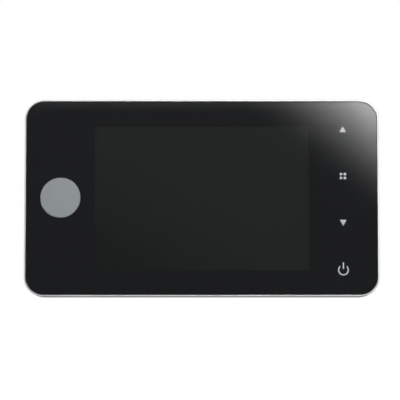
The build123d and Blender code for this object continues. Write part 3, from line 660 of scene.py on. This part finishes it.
# slot: name, darker tone, lighter tone, roughness, fineness of the grain, its depth in mm
plastics = {
    "tape": ("bondTape", (0.02, 0.02, 0.02), (0.03, 0.03, 0.03), 0.7, 4000.0, 0.006),
    "foam": ("closedFoam", (0.03, 0.03, 0.03), (0.05, 0.05, 0.05), 0.9, 2500.0, 0.04),
    "polyimide": ("amberRibbon", (0.36, 0.15, 0.03), (0.46, 0.22, 0.06), 0.35, 1500.0, 0.004),
    "cream_plastic": ("creamPlastic", (0.70, 0.65, 0.52), (0.78, 0.73, 0.61), 0.45, 3000.0, 0.005),
    "board_green": ("boardGreen", (0.012, 0.12, 0.05), (0.03, 0.19, 0.085), 0.3, 1200.0, 0.006),
    "chip_black": ("chipBlack", (0.015, 0.015, 0.017), (0.025, 0.025, 0.027), 0.5, 5000.0, 0.004),
    "wire_red": ("redInsulation", (0.42, 0.012, 0.012), (0.55, 0.03, 0.03), 0.4, 2500.0, 0.006),
    "housing_black": (
        "housingBlack", (0.024, 0.025, 0.027), (0.034, 0.035, 0.037), 0.48, 2600.0, 0.03
    ),
    "seal_rubber": ("blackRubber", (0.014, 0.014, 0.014), (0.024, 0.024, 0.024), 0.7, 3500.0, 0.01),
    "holder_black": (
        "holderBlack", (0.010, 0.010, 0.010), (0.016, 0.016, 0.016), 0.4, 4000.0, 0.004
    ),
}
metals = {
    "tray_metal": ("pressedTray", (0.5, 0.5, 0.52), (0.6, 0.6, 0.61), 0.35, 3500.0, 0.003),
    "capacitor_can": ("canMetal", (0.48, 0.48, 0.5), (0.6, 0.6, 0.62), 0.3, 3500.0, 0.003),
    "spring_steel": ("springNickel", (0.66, 0.66, 0.67), (0.8, 0.8, 0.8), 0.18, 3500.0, 0.003),
    "screw_steel": ("screwZinc", (0.30, 0.30, 0.31), (0.42, 0.42, 0.43), 0.3, 3500.0, 0.003),
    "bracket_zinc": ("bracketZinc", (0.52, 0.53, 0.54), (0.66, 0.67, 0.68), 0.34, 1600.0, 0.005),
}
nickel = ((0.62, 0.62, 0.62), (0.74, 0.73, 0.72))
finishes = {
    "clear_panel": clearCover(),
    "disc_metal": silverDisc(),
    "black_film": blackPrint(),
    "pale_print": palePrint(),
    "silver_frame": satinSilver(),
    "display_glass": darkDisplay(),
    "barrel_metal": turnedMetal("barrelNickel", *nickel, 0.27, 7000.0, 0.86),
    "filter_glass": tintedGlass("filterGlass", (0.45, 0.75, 0.68)),
    "lens_glass": tintedGlass("lensGlass", (0.93, 0.95, 0.99)),
    **{slotName: mouldedPlastic(*values) for slotName, values in plastics.items()},
    **{slotName: platedMetal(*values) for slotName, values in metals.items()},
}
satinNickel = turnedMetal("satinNickel", *nickel, 0.34, 7000.0, 0.62)     # sleeve and barrel
print("finishes made")


# the monitor's front: clear sheet, bare disc, silver rim, black film and symbols

middle = centreOf("front_frame").x      # the monitor's middle, across
loopGap = 4.0 * mm                      # loops are bridged this far apart, then moved into place
cornerSteps = 18


def emptyPiece(name):
    deselectAll()
    piece = bpy.data.objects.new(name, bpy.data.meshes.new(name))
    bpy.context.scene.collection.objects.link(piece)
    return takeUp(piece)


def addOutline(width, height, corner, out, steps):  # a rounded loop of edges that faces the room
    centre = (middle, -out, 0.0)
    bpy.ops.mesh.primitive_plane_add(size=1.0, location=centre, rotation=facing)
    bpy.ops.transform.resize(value=(width, 1.0, height), center_override=centre)
    bpy.ops.mesh.bevel(
        offset=corner, offset_type="OFFSET", segments=steps, profile=0.5, affect="VERTICES"
    )
    bpy.ops.mesh.delete(type="ONLY_FACE")


def loopStack(name, loops, steps=cornerSteps, caps=True):  # rounded loops bridged in a row
    piece = emptyPiece(name)
    bpy.ops.object.mode_set(mode="EDIT")
    bpy.ops.mesh.select_mode(type="VERT")
    for row, (width, height, corner, _) in enumerate(loops):
        bpy.ops.mesh.select_all(action="DESELECT")
        addOutline(width * mm, height * mm, corner * mm, row * loopGap, steps)
    ring = 4 * (steps + 1)
    last = len(loops) - 1
    for row in range(last):
        selectRows(piece, row * ring, (row + 2) * ring)
        bpy.ops.mesh.bridge_edge_loops()
    if caps:
        for row in (0, last):
            selectRows(piece, row * ring, (row + 1) * ring)
            bpy.ops.mesh.edge_face_add()
    else:
        selectPoints(piece, lambda index: index < ring or index >= last * ring)
        bpy.ops.mesh.bridge_edge_loops()
    for row, loop in enumerate(loops):
        selectRows(piece, row * ring, (row + 1) * ring)
        bpy.ops.transform.translate(value=(0.0, row * loopGap - loop[3] * mm, 0.0))
    return closeUp(piece)


cover = {
    "width": 138.6, "height": 76.6, "corner": 7.1,
    "front": 25.0, "back": 23.02,        # a little air lies between the sheet and its print
    "edge": 0.08,
    "pocket": 7.92, "pocketDepth": 0.31, "pocketSides": 96,
}


def makeCoverSheet():
    size = (cover["width"], cover["height"], cover["corner"])
    front = -cover["front"]
    piece = loopStack("coverSheet", [(*size, cover["back"]), (*size, cover["front"])])
    centre = centreOf("blank_disc")
    pocket = addRod(
        "pocket", cover["pocket"], front - 1.0, front + cover["pocketDepth"],
        centre.x, centre.z, cover["pocketSides"],
    )
    cutWith(piece, pocket)
    roundEdges(piece, cover["edge"])
    finishPiece(piece, finishes["clear_panel"], "monitor", "front_panel")


disc = {"radius": 7.86, "back": 24.7, "front": 25.1, "edge": 0.1, "edgeShare": 0.3, "sides": 128}


def makeDisc():
    centre = centreOf("blank_disc")
    front, radius, edge = -disc["front"], disc["radius"], disc["edge"]
    rounding = edge * disc["edgeShare"]
    piece = turned(
        "bareDisc",
        [
            (-disc["back"], radius), (front + edge, radius),
            (front + rounding, radius - rounding), (front, radius - edge),
        ],
        sides=disc["sides"], across=centre.x, up=centre.z, caps=True,
    )
    finishPiece(piece, finishes["disc_metal"], "monitor", "blank_disc", angle=50)


rim = {
    "width": 140.0, "height": 78.0, "corner": 7.8,
    "back": 15.0, "front": 24.9, "draft": 0.26, "wall": 1.5,
    "rim": 0.6, "chamfer": 0.05,
    "round": 0.3, "roundTurns": (22.5, 45.0, 67.5, 90.0),
    "ledge": 22.5, "ledgeWidth": 3.1, "ledgeThickness": 1.2,
    "lug": 2.3, "lugBore": 1.05, "lugFlare": 0.25, "lugSink": 0.3,
    "lugAcross": 58.0, "lugUp": 32.8, "lugSides": 40,
}


def insetBy(amount, out):  # the rim's outline drawn in by an amount
    return (
        rim["width"] - 2 * amount, rim["height"] - 2 * amount, rim["corner"] - amount, out,
    )


def makeLugs(top):
    back, bore, flare = -rim["back"], rim["lugBore"], rim["lugFlare"]
    lug = turned(
        "lug",
        [
            (back, bore + flare), (back, rim["lug"]), (top, rim["lug"]), (top, bore),
            (back - flare, bore),
        ],
        sides=rim["lugSides"], across=middle - rim["lugAcross"] * mm, up=-rim["lugUp"] * mm,
        closed=True,
    )
    return atFourCorners(lug, 2 * rim["lugAcross"] * mm, 2 * rim["lugUp"] * mm)


def makeRimFrame():
    roundness, front, chamfer = rim["round"], rim["front"], rim["chamfer"]
    under = rim["ledge"] - rim["ledgeThickness"]
    ledge = rim["rim"] + rim["ledgeWidth"]
    loops = [insetBy(rim["draft"], rim["back"]), insetBy(0.0, front - roundness)]
    for turn in rim["roundTurns"]:
        angle = math.radians(turn)
        loops.append(
            insetBy(roundness * (1 - math.cos(angle)), front - roundness * (1 - math.sin(angle)))
        )
    loops += [
        insetBy(rim["rim"] - chamfer, front),
        insetBy(rim["rim"], front - chamfer),
        insetBy(rim["rim"], rim["ledge"]),
        insetBy(ledge, rim["ledge"]),
        insetBy(ledge, under),
        insetBy(rim["wall"], under),
        insetBy(rim["wall"], rim["back"]),
    ]
    piece = loopStack("rimFrame", loops, caps=False)
    piece = joinPieces([piece, *makeLugs(-under - rim["lugSink"])], "rimFrame")
    finishPiece(piece, finishes["silver_frame"], "monitor", "front_frame", angle=35)


film = {
    "width": 138.76, "height": 76.76, "corner": 7.18, "back": 22.7, "front": 23.0,
    "lip": 24.88, "lipWidth": 0.07,                                # black edge of the clear sheet
    "window": (84.6, 57.2, 0.6), "windowSteps": 14, "windowSpare": 0.5,
}


def makeBlackFilm():
    back, front, lip, lipWidth = film["back"], film["front"], film["lip"], film["lipWidth"]
    outer = (film["width"], film["height"], film["corner"])
    inner = (outer[0] - 2 * lipWidth, outer[1] - 2 * lipWidth, outer[2] - lipWidth)
    piece = loopStack(
        "blackFilm", [(*outer, back), (*outer, lip), (*inner, lip), (*inner, front)]
    )
    window, spare = film["window"], film["windowSpare"]
    cutter = loopStack(
        "window", [(*window, back - spare), (*window, front + spare)], film["windowSteps"]
    )
    cutWith(piece, cutter)
    finishPiece(piece, finishes["black_film"], "monitor", "panel_mask")


symbols = {
    "across": 23.79, "depth": 23.0, "ink": 0.012,
    "arrowUp": {"tip": 28.54, "foot": 26.24, "width": 2.62},
    "arrowDown": {"tip": -11.01, "foot": -8.63, "width": 2.65},
    "dots": {"up": 8.76, "spacing": 1.53, "size": 1.12, "sides": 28},
    "power": {
        "up": -28.47, "radius": 2.14, "stroke": 0.5, "opening": 2.6, "spare": 1.0, "sides": 64,
        "barFrom": -28.04, "barTo": -25.45, "bar": 0.5,
    },
}


def addInk(name, corners, across, up, width, height):  # a flat shape of ink on the film
    deselectAll()
    place = (across * mm, -symbols["depth"] * mm, up * mm)
    if corners == 4:
        bpy.ops.mesh.primitive_plane_add(size=mm, location=place, rotation=facing)
    else:
        bpy.ops.mesh.primitive_circle_add(
            vertices=corners, radius=0.5 * mm, fill_type="NGON", location=place, rotation=facing
        )
    shape = bpy.context.object
    shape.name = name
    settle(shape)
    editAll(shape)
    bpy.ops.transform.resize(value=(width, 1.0, height), center_override=place)
    bpy.ops.mesh.extrude_region_move(
        TRANSFORM_OT_translate={"value": (0.0, -symbols["ink"] * mm, 0.0)}
    )
    return closeUp(shape)


def inkArrow(name):
    # three corners on a circle of diameter 1 make an arrow that is 3/4 high and sqrt(3/4) wide
    arrow = symbols[name]
    height = arrow["tip"] - arrow["foot"]
    return addInk(
        name, 3, symbols["across"], arrow["foot"] + height / 3,
        arrow["width"] / math.sqrt(0.75), height / 0.75,
    )


def inkDots():
    dots = symbols["dots"]
    spacing, size = dots["spacing"], dots["size"]
    dot = addInk(
        "dot", dots["sides"], symbols["across"] - spacing / 2, dots["up"] - spacing / 2, size, size
    )
    return atFourCorners(dot, spacing * mm, spacing * mm)


def inkPower():  # a ring that is open at the top, and a bar in the opening
    power, across = symbols["power"], symbols["across"]
    back, outer = -symbols["depth"], power["radius"]
    front, inner = back - symbols["ink"], outer - power["stroke"]
    ring = turned(
        "powerRing", [(back, outer), (front, outer), (front, inner), (back, inner)],
        sides=power["sides"], across=across * mm, up=power["up"] * mm, closed=True,
    )
    height = outer + power["spare"]
    opening = addBlock(
        (across * mm, back * mm, (power["up"] + height / 2) * mm),
        (power["opening"] * mm, mm, height * mm),
    )
    cutWith(ring, opening)
    bar = addInk(
        "powerBar", 4, across, (power["barFrom"] + power["barTo"]) / 2, power["bar"],
        power["barTo"] - power["barFrom"],
    )
    return [ring, bar]


def makeSymbols():
    shapes = [inkArrow("arrowUp"), inkArrow("arrowDown"), *inkDots(), *inkPower()]
    piece = joinPieces(shapes, "keySymbols")
    finishPiece(piece, finishes["pale_print"], "monitor", "key_symbols")


makeCoverSheet()
makeDisc()
makeRimFrame()
makeBlackFilm()
makeSymbols()
print("front made")


# the monitor's back: shell, sliding cover, screws and cells

shell = {"edge": 0.18, "roundedFrom": 40}


def makeRearShell():
    piece = copyNode("rear_housing", "rearShell")
    roundEdges(piece, shell["edge"], angle=shell["roundedFrom"])
    finishPiece(piece, finishes["housing_black"], "monitor", "rear_housing")


slidingCover = {
    "edge": 0.12, "roundedFrom": 40,
    "arrowAcross": -70.0, "arrowRadius": 4.2, "arrowDepth": 0.25,
}


def makeSlidingCover():
    piece = copyNode("battery_cover", "slidingCover")
    centre = (slidingCover["arrowAcross"] * mm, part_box("battery_cover")[1].y, 0.0)
    deselectAll()
    bpy.ops.mesh.primitive_cylinder_add(
        vertices=3, radius=slidingCover["arrowRadius"] * mm,
        depth=2 * slidingCover["arrowDepth"] * mm, location=centre, rotation=facing,
    )
    arrow = bpy.context.object
    settle(arrow)
    turnMesh(arrow, 90, "Y", centre)
    cutWith(piece, arrow)
    roundEdges(piece, slidingCover["edge"], angle=slidingCover["roundedFrom"])
    finishPiece(piece, finishes["housing_black"], "battery_cover", "battery_cover")


screw = {
    "head": 1.75, "shank": 1.0, "sides": 40,
    "dome": ((0.0, 0.62), (0.10, 0.82), (0.32, 0.96), (0.6, 1.0)),     # shares of height and head
    "point": 0.5, "pointShare": 0.55,
    "cross": 1.05, "crossWidth": 0.36, "crossDepth": 0.65, "crossTurn": 20,
}


def makeScrew(name, kind, across, up):  # the head stands behind the seat
    seat, tip, height = kind["seat"], kind["tip"], kind["height"]
    heading = 1.0 if seat > tip else -1.0
    top = seat + heading * height
    head, shank = screw["head"], screw["shank"]
    piece = turned(
        name,
        [
            *((top - heading * height * fall, head * share) for fall, share in screw["dome"]),
            (seat, head), (seat, shank),
            (tip + heading * screw["point"], shank), (tip, shank * screw["pointShare"]),
        ],
        sides=screw["sides"], across=across, up=up, caps=True,
    )
    cross, crossWidth, crossDepth = screw["cross"], screw["crossWidth"], screw["crossDepth"]
    for width, length in ((crossWidth, cross), (cross, crossWidth)):
        blade = addBlock(
            (across, top * mm, up), (2 * width * mm, 2 * crossDepth * mm, 2 * length * mm)
        )
        turnMesh(blade, screw["crossTurn"], "Y", (across, 0.0, up))
        cutWith(piece, blade)
    return piece


housingScrews = {"seat": -4.5, "tip": -19.9, "height": 1.3, "across": 58.0, "up": 32.8}
boardScrews = {"seat": -17.0, "tip": -11.0, "height": 1.2, "inner": 18.0}


def makeHousingScrews():
    across, up = housingScrews["across"] * mm, housingScrews["up"] * mm
    first = makeScrew("housingScrew", housingScrews, middle - across, -up)
    piece = joinPieces(atFourCorners(first, 2 * across, 2 * up), "housingScrews")
    finishPiece(piece, finishes["screw_steel"], "monitor", "housing_screws")


def makeBoardScrews():
    low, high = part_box("board_screws")
    edge, inner = screw["head"] * mm, boardScrews["inner"] * mm
    left, right, top = low.x + edge, high.x - edge, high.z - edge
    copies = [makeScrew("boardScrew", boardScrews, left, top)]
    for across, up in ((left, -top), (right, inner), (right, -inner)):
        copies.append(copyPiece(copies[0], (across - left, 0.0, up - top)))
    piece = joinPieces(copies, "boardScrews")
    finishPiece(piece, finishes["screw_steel"], "monitor", "board_screws")


makeRearShell()
makeSlidingCover()
makeHousingScrews()
makeBoardScrews()
print("back made")


cell = {
    "radius": 7.1, "length": 50.5, "can": 6.75, "sides": 64,
    "button": 2.6, "buttonHeight": 1.2, "buttonEdge": 0.25,
    "jacketFrom": 0.35, "jacketTo": 48.6,
    # depth and radius of the minus end
    "minus": (
        (0.12, 3.4), (0.0, 3.9), (0.0, 4.6), (0.25, 4.9), (0.25, 5.6), (0.0, 5.9), (0.0, 6.2)
    ),
    # the jacket's two ends: depth and radius from its own end and surface
    "jacketStart": ((0.0, -0.1), (0.15, 0.0)), "jacketEnd": ((-0.2, 0.0), (0.0, -0.12)),
    # depth from the shoulder under the button, and radius
    "plus": (
        (-0.35, 6.75), (0.0, 6.45), (0.0, 5.6), (-0.3, 5.3), (-0.3, 4.3), (0.05, 3.9), (0.05, 2.7)
    ),
}
jacket = {
    "bandTo": 13.5, "line": 14.1, "footFrom": 46.5, "lineHalf": 0.35,           # mm from the button
    "plus": 6.6, "plusReach": 1.5, "plusHalf": 0.35,
    "body": (0.075, 0.10, 0.125), "band": (0.62, 0.63, 0.64), "lineTone": (0.03, 0.035, 0.04),
    "foot": (0.045, 0.055, 0.07), "plusTone": (0.05, 0.06, 0.07),
}


def cellJacket(name, plusEnd, heading, centre):
    finish = Finish(name, (0.09, 0.16, 0.26), 0.25, Coat_Weight=0.4)
    across, _, up = finish.axes()
    along = (across - plusEnd) * heading * 1000.0        # mm from the button
    band = along.below(jacket["bandTo"])
    line = (along - jacket["line"]).size().below(jacket["lineHalf"])
    foot = along.above(jacket["footFrom"])
    beside, off = (along - jacket["plus"]).size(), ((up - centre.z) * 1000.0).size()
    reach, half = jacket["plusReach"], jacket["plusHalf"]
    plus = (beside.below(half) * off.below(reach) + off.below(half) * beside.below(reach)).clip()
    base = finish.mixColours(band, jacket["body"], jacket["band"])
    base = finish.mixColours(line, base, jacket["lineTone"])
    base = finish.mixColours(foot, base, jacket["foot"])
    base = finish.mixColours(plus, base, jacket["plusTone"])
    return finish.drive(
        Base_Color=base,
        Roughness=0.2 + finish.noise(420.0, 4.0) * 0.16,
        Normal=finish.bump(finish.noise(160.0, 1.0), 0.02),
    )


def makeCell(number):
    node = f"battery_cell_{number}"
    low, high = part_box(node)
    centre = centreOf(node)
    right = number % 2 == 1        # which way the button points
    plusEnd = high.x if right else low.x
    length, can, outer = cell["length"], cell["can"], cell["radius"]
    button, edge = cell["button"], cell["buttonEdge"]
    start, end = cell["jacketFrom"], cell["jacketTo"]
    shoulder = length - cell["buttonHeight"]
    piece = turned(
        f"cell{number}",
        [
            *cell["minus"],
            (start, can),
            *((start + depth, outer + rise) for depth, rise in cell["jacketStart"]),
            *((end + depth, outer + rise) for depth, rise in cell["jacketEnd"]),
            (end, can),
            *((shoulder + depth, radius) for depth, radius in cell["plus"]),
            (length - edge, button), (length, button - edge),
        ],
        sides=cell["sides"], caps=True,
    )
    shiftMesh(piece, (0.0, -length / 2 * mm, 0.0))
    turnMesh(piece, 90 if right else -90, "Z", (0.0, 0.0, 0.0))
    shiftMesh(piece, centre)
    printed = cellJacket(f"cellJacket{number}", plusEnd, -1.0 if right else 1.0, centre)
    finishPiece(piece, printed, "monitor", node, angle=40)
    piece.data.materials.append(finishes["spring_steel"].material)
    for face in piece.data.polygons:     # the jacket is printed, and the rest is bare metal
        away = Vector((0.0, face.center.y - centre.y, face.center.z - centre.z)).length / mm
        along = abs(face.center.x - plusEnd) / mm
        wrapped = away > can - 0.02 and length - end - 0.1 < along < length - 0.3
        face.material_index = 0 if wrapped else 1


for number in (1, 2, 3, 4):
    makeCell(number)
print("cells made")


# the door side: bracket, sleeve, threaded barrel, bezel, lens and ribbon

softened(
    "door_bracket", "hangingPlate", finishes["bracket_zinc"], "bracket", 0.15, 3
)
softened("bracket_pad", "foamPad", finishes["foam"], "bracket", 0.12)
softened("sleeve_washer", "thinWasher", finishes["screw_steel"], "bracket", 0.06)
softened("fixing_sleeve", "threadedSleeve", satinNickel, "sleeve", 0.12, 3)
softened("door_gasket", "doorGasket", finishes["seal_rubber"], "camera", 0.2, 3)

barrel = {
    "bore": 4.5, "core": 5.55, "start": 3.0, "headStart": 37.0, "end": 47.8,
    "head": 7.0, "headBore": 6.0, "seat": 38.5, "bevel": 0.35, "sides": 96,
    "groove": 0.6, "grooveDepth": 0.25,
    "crest": 6.0, "pitch": 1.5, "threadFrom": 1.4, "threadSpare": 2.6,
    "threadSink": 0.02, "threadFlat": 0.82, "threadSteps": 48,
}


def makeBarrel():
    start, neck, end, seat = barrel["start"], barrel["headStart"], barrel["end"], barrel["seat"]
    bore, core, head, headBore = barrel["bore"], barrel["core"], barrel["head"], barrel["headBore"]
    bevel, groove, grooved = barrel["bevel"], neck - barrel["groove"], core - barrel["grooveDepth"]
    piece = turned(
        "threadedBarrel",
        [
            (start, bore), (start, core - bevel), (start + bevel, core),
            (groove, core), (groove, grooved), (neck, grooved),
            (neck, head - bevel), (neck + bevel, head), (end, head),
            (end, headBore), (seat, headBore), (seat, bore),
        ],
        sides=barrel["sides"], closed=True,
    )
    finishPiece(makeThread(), satinNickel, "camera", None, angle=50)
    finishPiece(piece, satinNickel, "camera", "camera_barrel", angle=40)


def makeThread():  # a pointed section wound round the barrel
    start, core, pitch, steps = (barrel[name] for name in ("start", "core", "pitch", "threadSteps"))
    turns = int((barrel["headStart"] - start - barrel["threadSpare"]) / pitch)
    foot = ((core - barrel["threadSink"]) * mm, 0.0, 0.0)
    deselectAll()
    bpy.ops.mesh.primitive_circle_add(vertices=4, radius=pitch / 2 * mm, location=foot)
    thread = bpy.context.object
    thread.name = "barrelThread"
    settle(thread)
    editAll(thread)
    bpy.ops.transform.resize(
        value=((barrel["crest"] - core) / (pitch / 2), barrel["threadFlat"], 1.0),
        center_override=foot,
    )
    bpy.ops.transform.translate(value=(0.0, (start + barrel["threadFrom"]) * mm, 0.0))
    bpy.ops.object.mode_set(mode="OBJECT")
    applyModifier(
        thread, "SCREW", axis="Y", angle=math.radians(360), screw_offset=pitch * mm,
        iterations=turns, steps=steps, render_steps=steps, use_merge_vertices=False,
    )
    editAll(thread)
    bpy.ops.mesh.fill_holes(sides=0)
    return closeUp(thread)


bezel = {
    "inner": 7.05, "radius": 13.0, "start": 46.0, "face": 49.2, "lip": 47.8, "hole": 4.75,
    "bevel": 0.25, "sides": 128, "edge": 0.05, "roundedFrom": 30,
    # depth under the face and distance from the outside, over the rounded shoulder
    "shoulder": ((1.7, 0.0), (1.1, 0.22), (0.5, 0.75), (0.15, 1.4), (0.0, 2.2)),
    # depth under the face and radius, over the step in the face
    "step": ((0.0, 8.7), (0.25, 8.45), (0.25, 7.95), (0.0, 7.7), (0.0, 5.9)),
    "funnel": 0.75, "funnelRise": 0.05,
}


def makeBezel():
    start, face, lip, hole = bezel["start"], bezel["face"], bezel["lip"], bezel["hole"]
    inner, radius, bevel = bezel["inner"], bezel["radius"], bezel["bevel"]
    piece = turned(
        "streetBezel",
        [
            (start, inner), (start, radius - bevel), (start + bevel, radius),
            *((face - under, radius - inwards) for under, inwards in bezel["shoulder"]),
            *((face - under, away) for under, away in bezel["step"]),
            (face - bezel["funnel"], hole + bezel["funnelRise"]),
            (lip, hole), (lip, inner),
        ],
        sides=bezel["sides"], closed=True,
    )
    roundEdges(piece, bezel["edge"], angle=bezel["roundedFrom"])
    finishPiece(piece, finishes["barrel_metal"], "camera", "outer_bezel", angle=35)


makeBarrel()
makeBezel()
softened("front_lens", "domeLens", finishes["lens_glass"], "camera", angle=60)

ribbon = {
    "start": (0.0, -0.0066, 0.0), "end": (0.0, 0.0385, 0.0), "cuts": 14,
    "film": ((0.40, 0.165, 0.030), (0.50, 0.225, 0.055)),
    "track": (0.30, 0.105, 0.022), "trackSpacing": 0.5 * mm, "tracksTo": 2.15 * mm,
    "trackFrom": -0.2, "trackHeight": 0.03,      # the wave makes a track above this; height in mm
}


def trackedRibbon():  # amber film with copper tracks along it
    finish = Finish("trackedRibbon", (0.42, 0.19, 0.05), 0.35)
    across = finish.axes()[0]
    wave = (across * (2 * math.pi / ribbon["trackSpacing"])).sine()
    tracks = wave.above(ribbon["trackFrom"]) * across.size().below(ribbon["tracksTo"])
    amber = finish.mixColours(finish.noise(260.0), *ribbon["film"])
    return finish.drive(
        Base_Color=finish.mixColours(tracks, amber, ribbon["track"]),
        Roughness=0.26 + finish.noise(1500.0) * 0.12,
        Normal=finish.bump(tracks, ribbon["trackHeight"]),
    )


def makeCameraRibbon():  # the ribbon between the bracket and the camera, which bends when the barrel moves; here it is only cut into short lengths along the depth
    piece = copyNode("camera_ribbon", "cameraRibbon")
    start, end, cuts = Vector(ribbon["start"]), Vector(ribbon["end"]), ribbon["cuts"]
    bpy.ops.object.mode_set(mode="EDIT")
    for cut in range(1, cuts):
        bpy.ops.mesh.select_all(action="SELECT")
        bpy.ops.mesh.bisect(plane_co=start.lerp(end, cut / cuts), plane_no=(0.0, 1.0, 0.0))
    bpy.ops.object.mode_set(mode="OBJECT")
    settle(piece)
    smoothShade(piece, 40)
    wear(piece, trackedRibbon())
    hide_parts("camera_ribbon")
    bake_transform(piece)


makeCameraRibbon()
print("door side made")

plainNodes = {
    "tape": ["panel_tape"],
    "foam": ["lcd_gasket"],
    "display_glass": ["lcd_glass"],
    "tray_metal": ["lcd_backlight"],
    "polyimide": ["lcd_flex"],
    "cream_plastic": ["lcd_socket", "camera_socket", "ribbon_plug"],
    "board_green": ["main_board", "sensor_board"],
    "chip_black": ["board_chips", "image_sensor"],
    "capacitor_can": ["power_parts"],
    "spring_steel": ["touch_springs", "battery_plates", "battery_springs"],
    "wire_red": ["battery_wires"],
    "seal_rubber": ["lens_seal"],
    "holder_black": ["lens_holder", "lens_spacer"],
    "filter_glass": ["infrared_filter"],
    "lens_glass": ["rear_lens", "middle_lens"],
}
for slotName, names in plainNodes.items():
    for name in names:
        wear(nodes[name], finishes[slotName])
print("other nodes dressed")
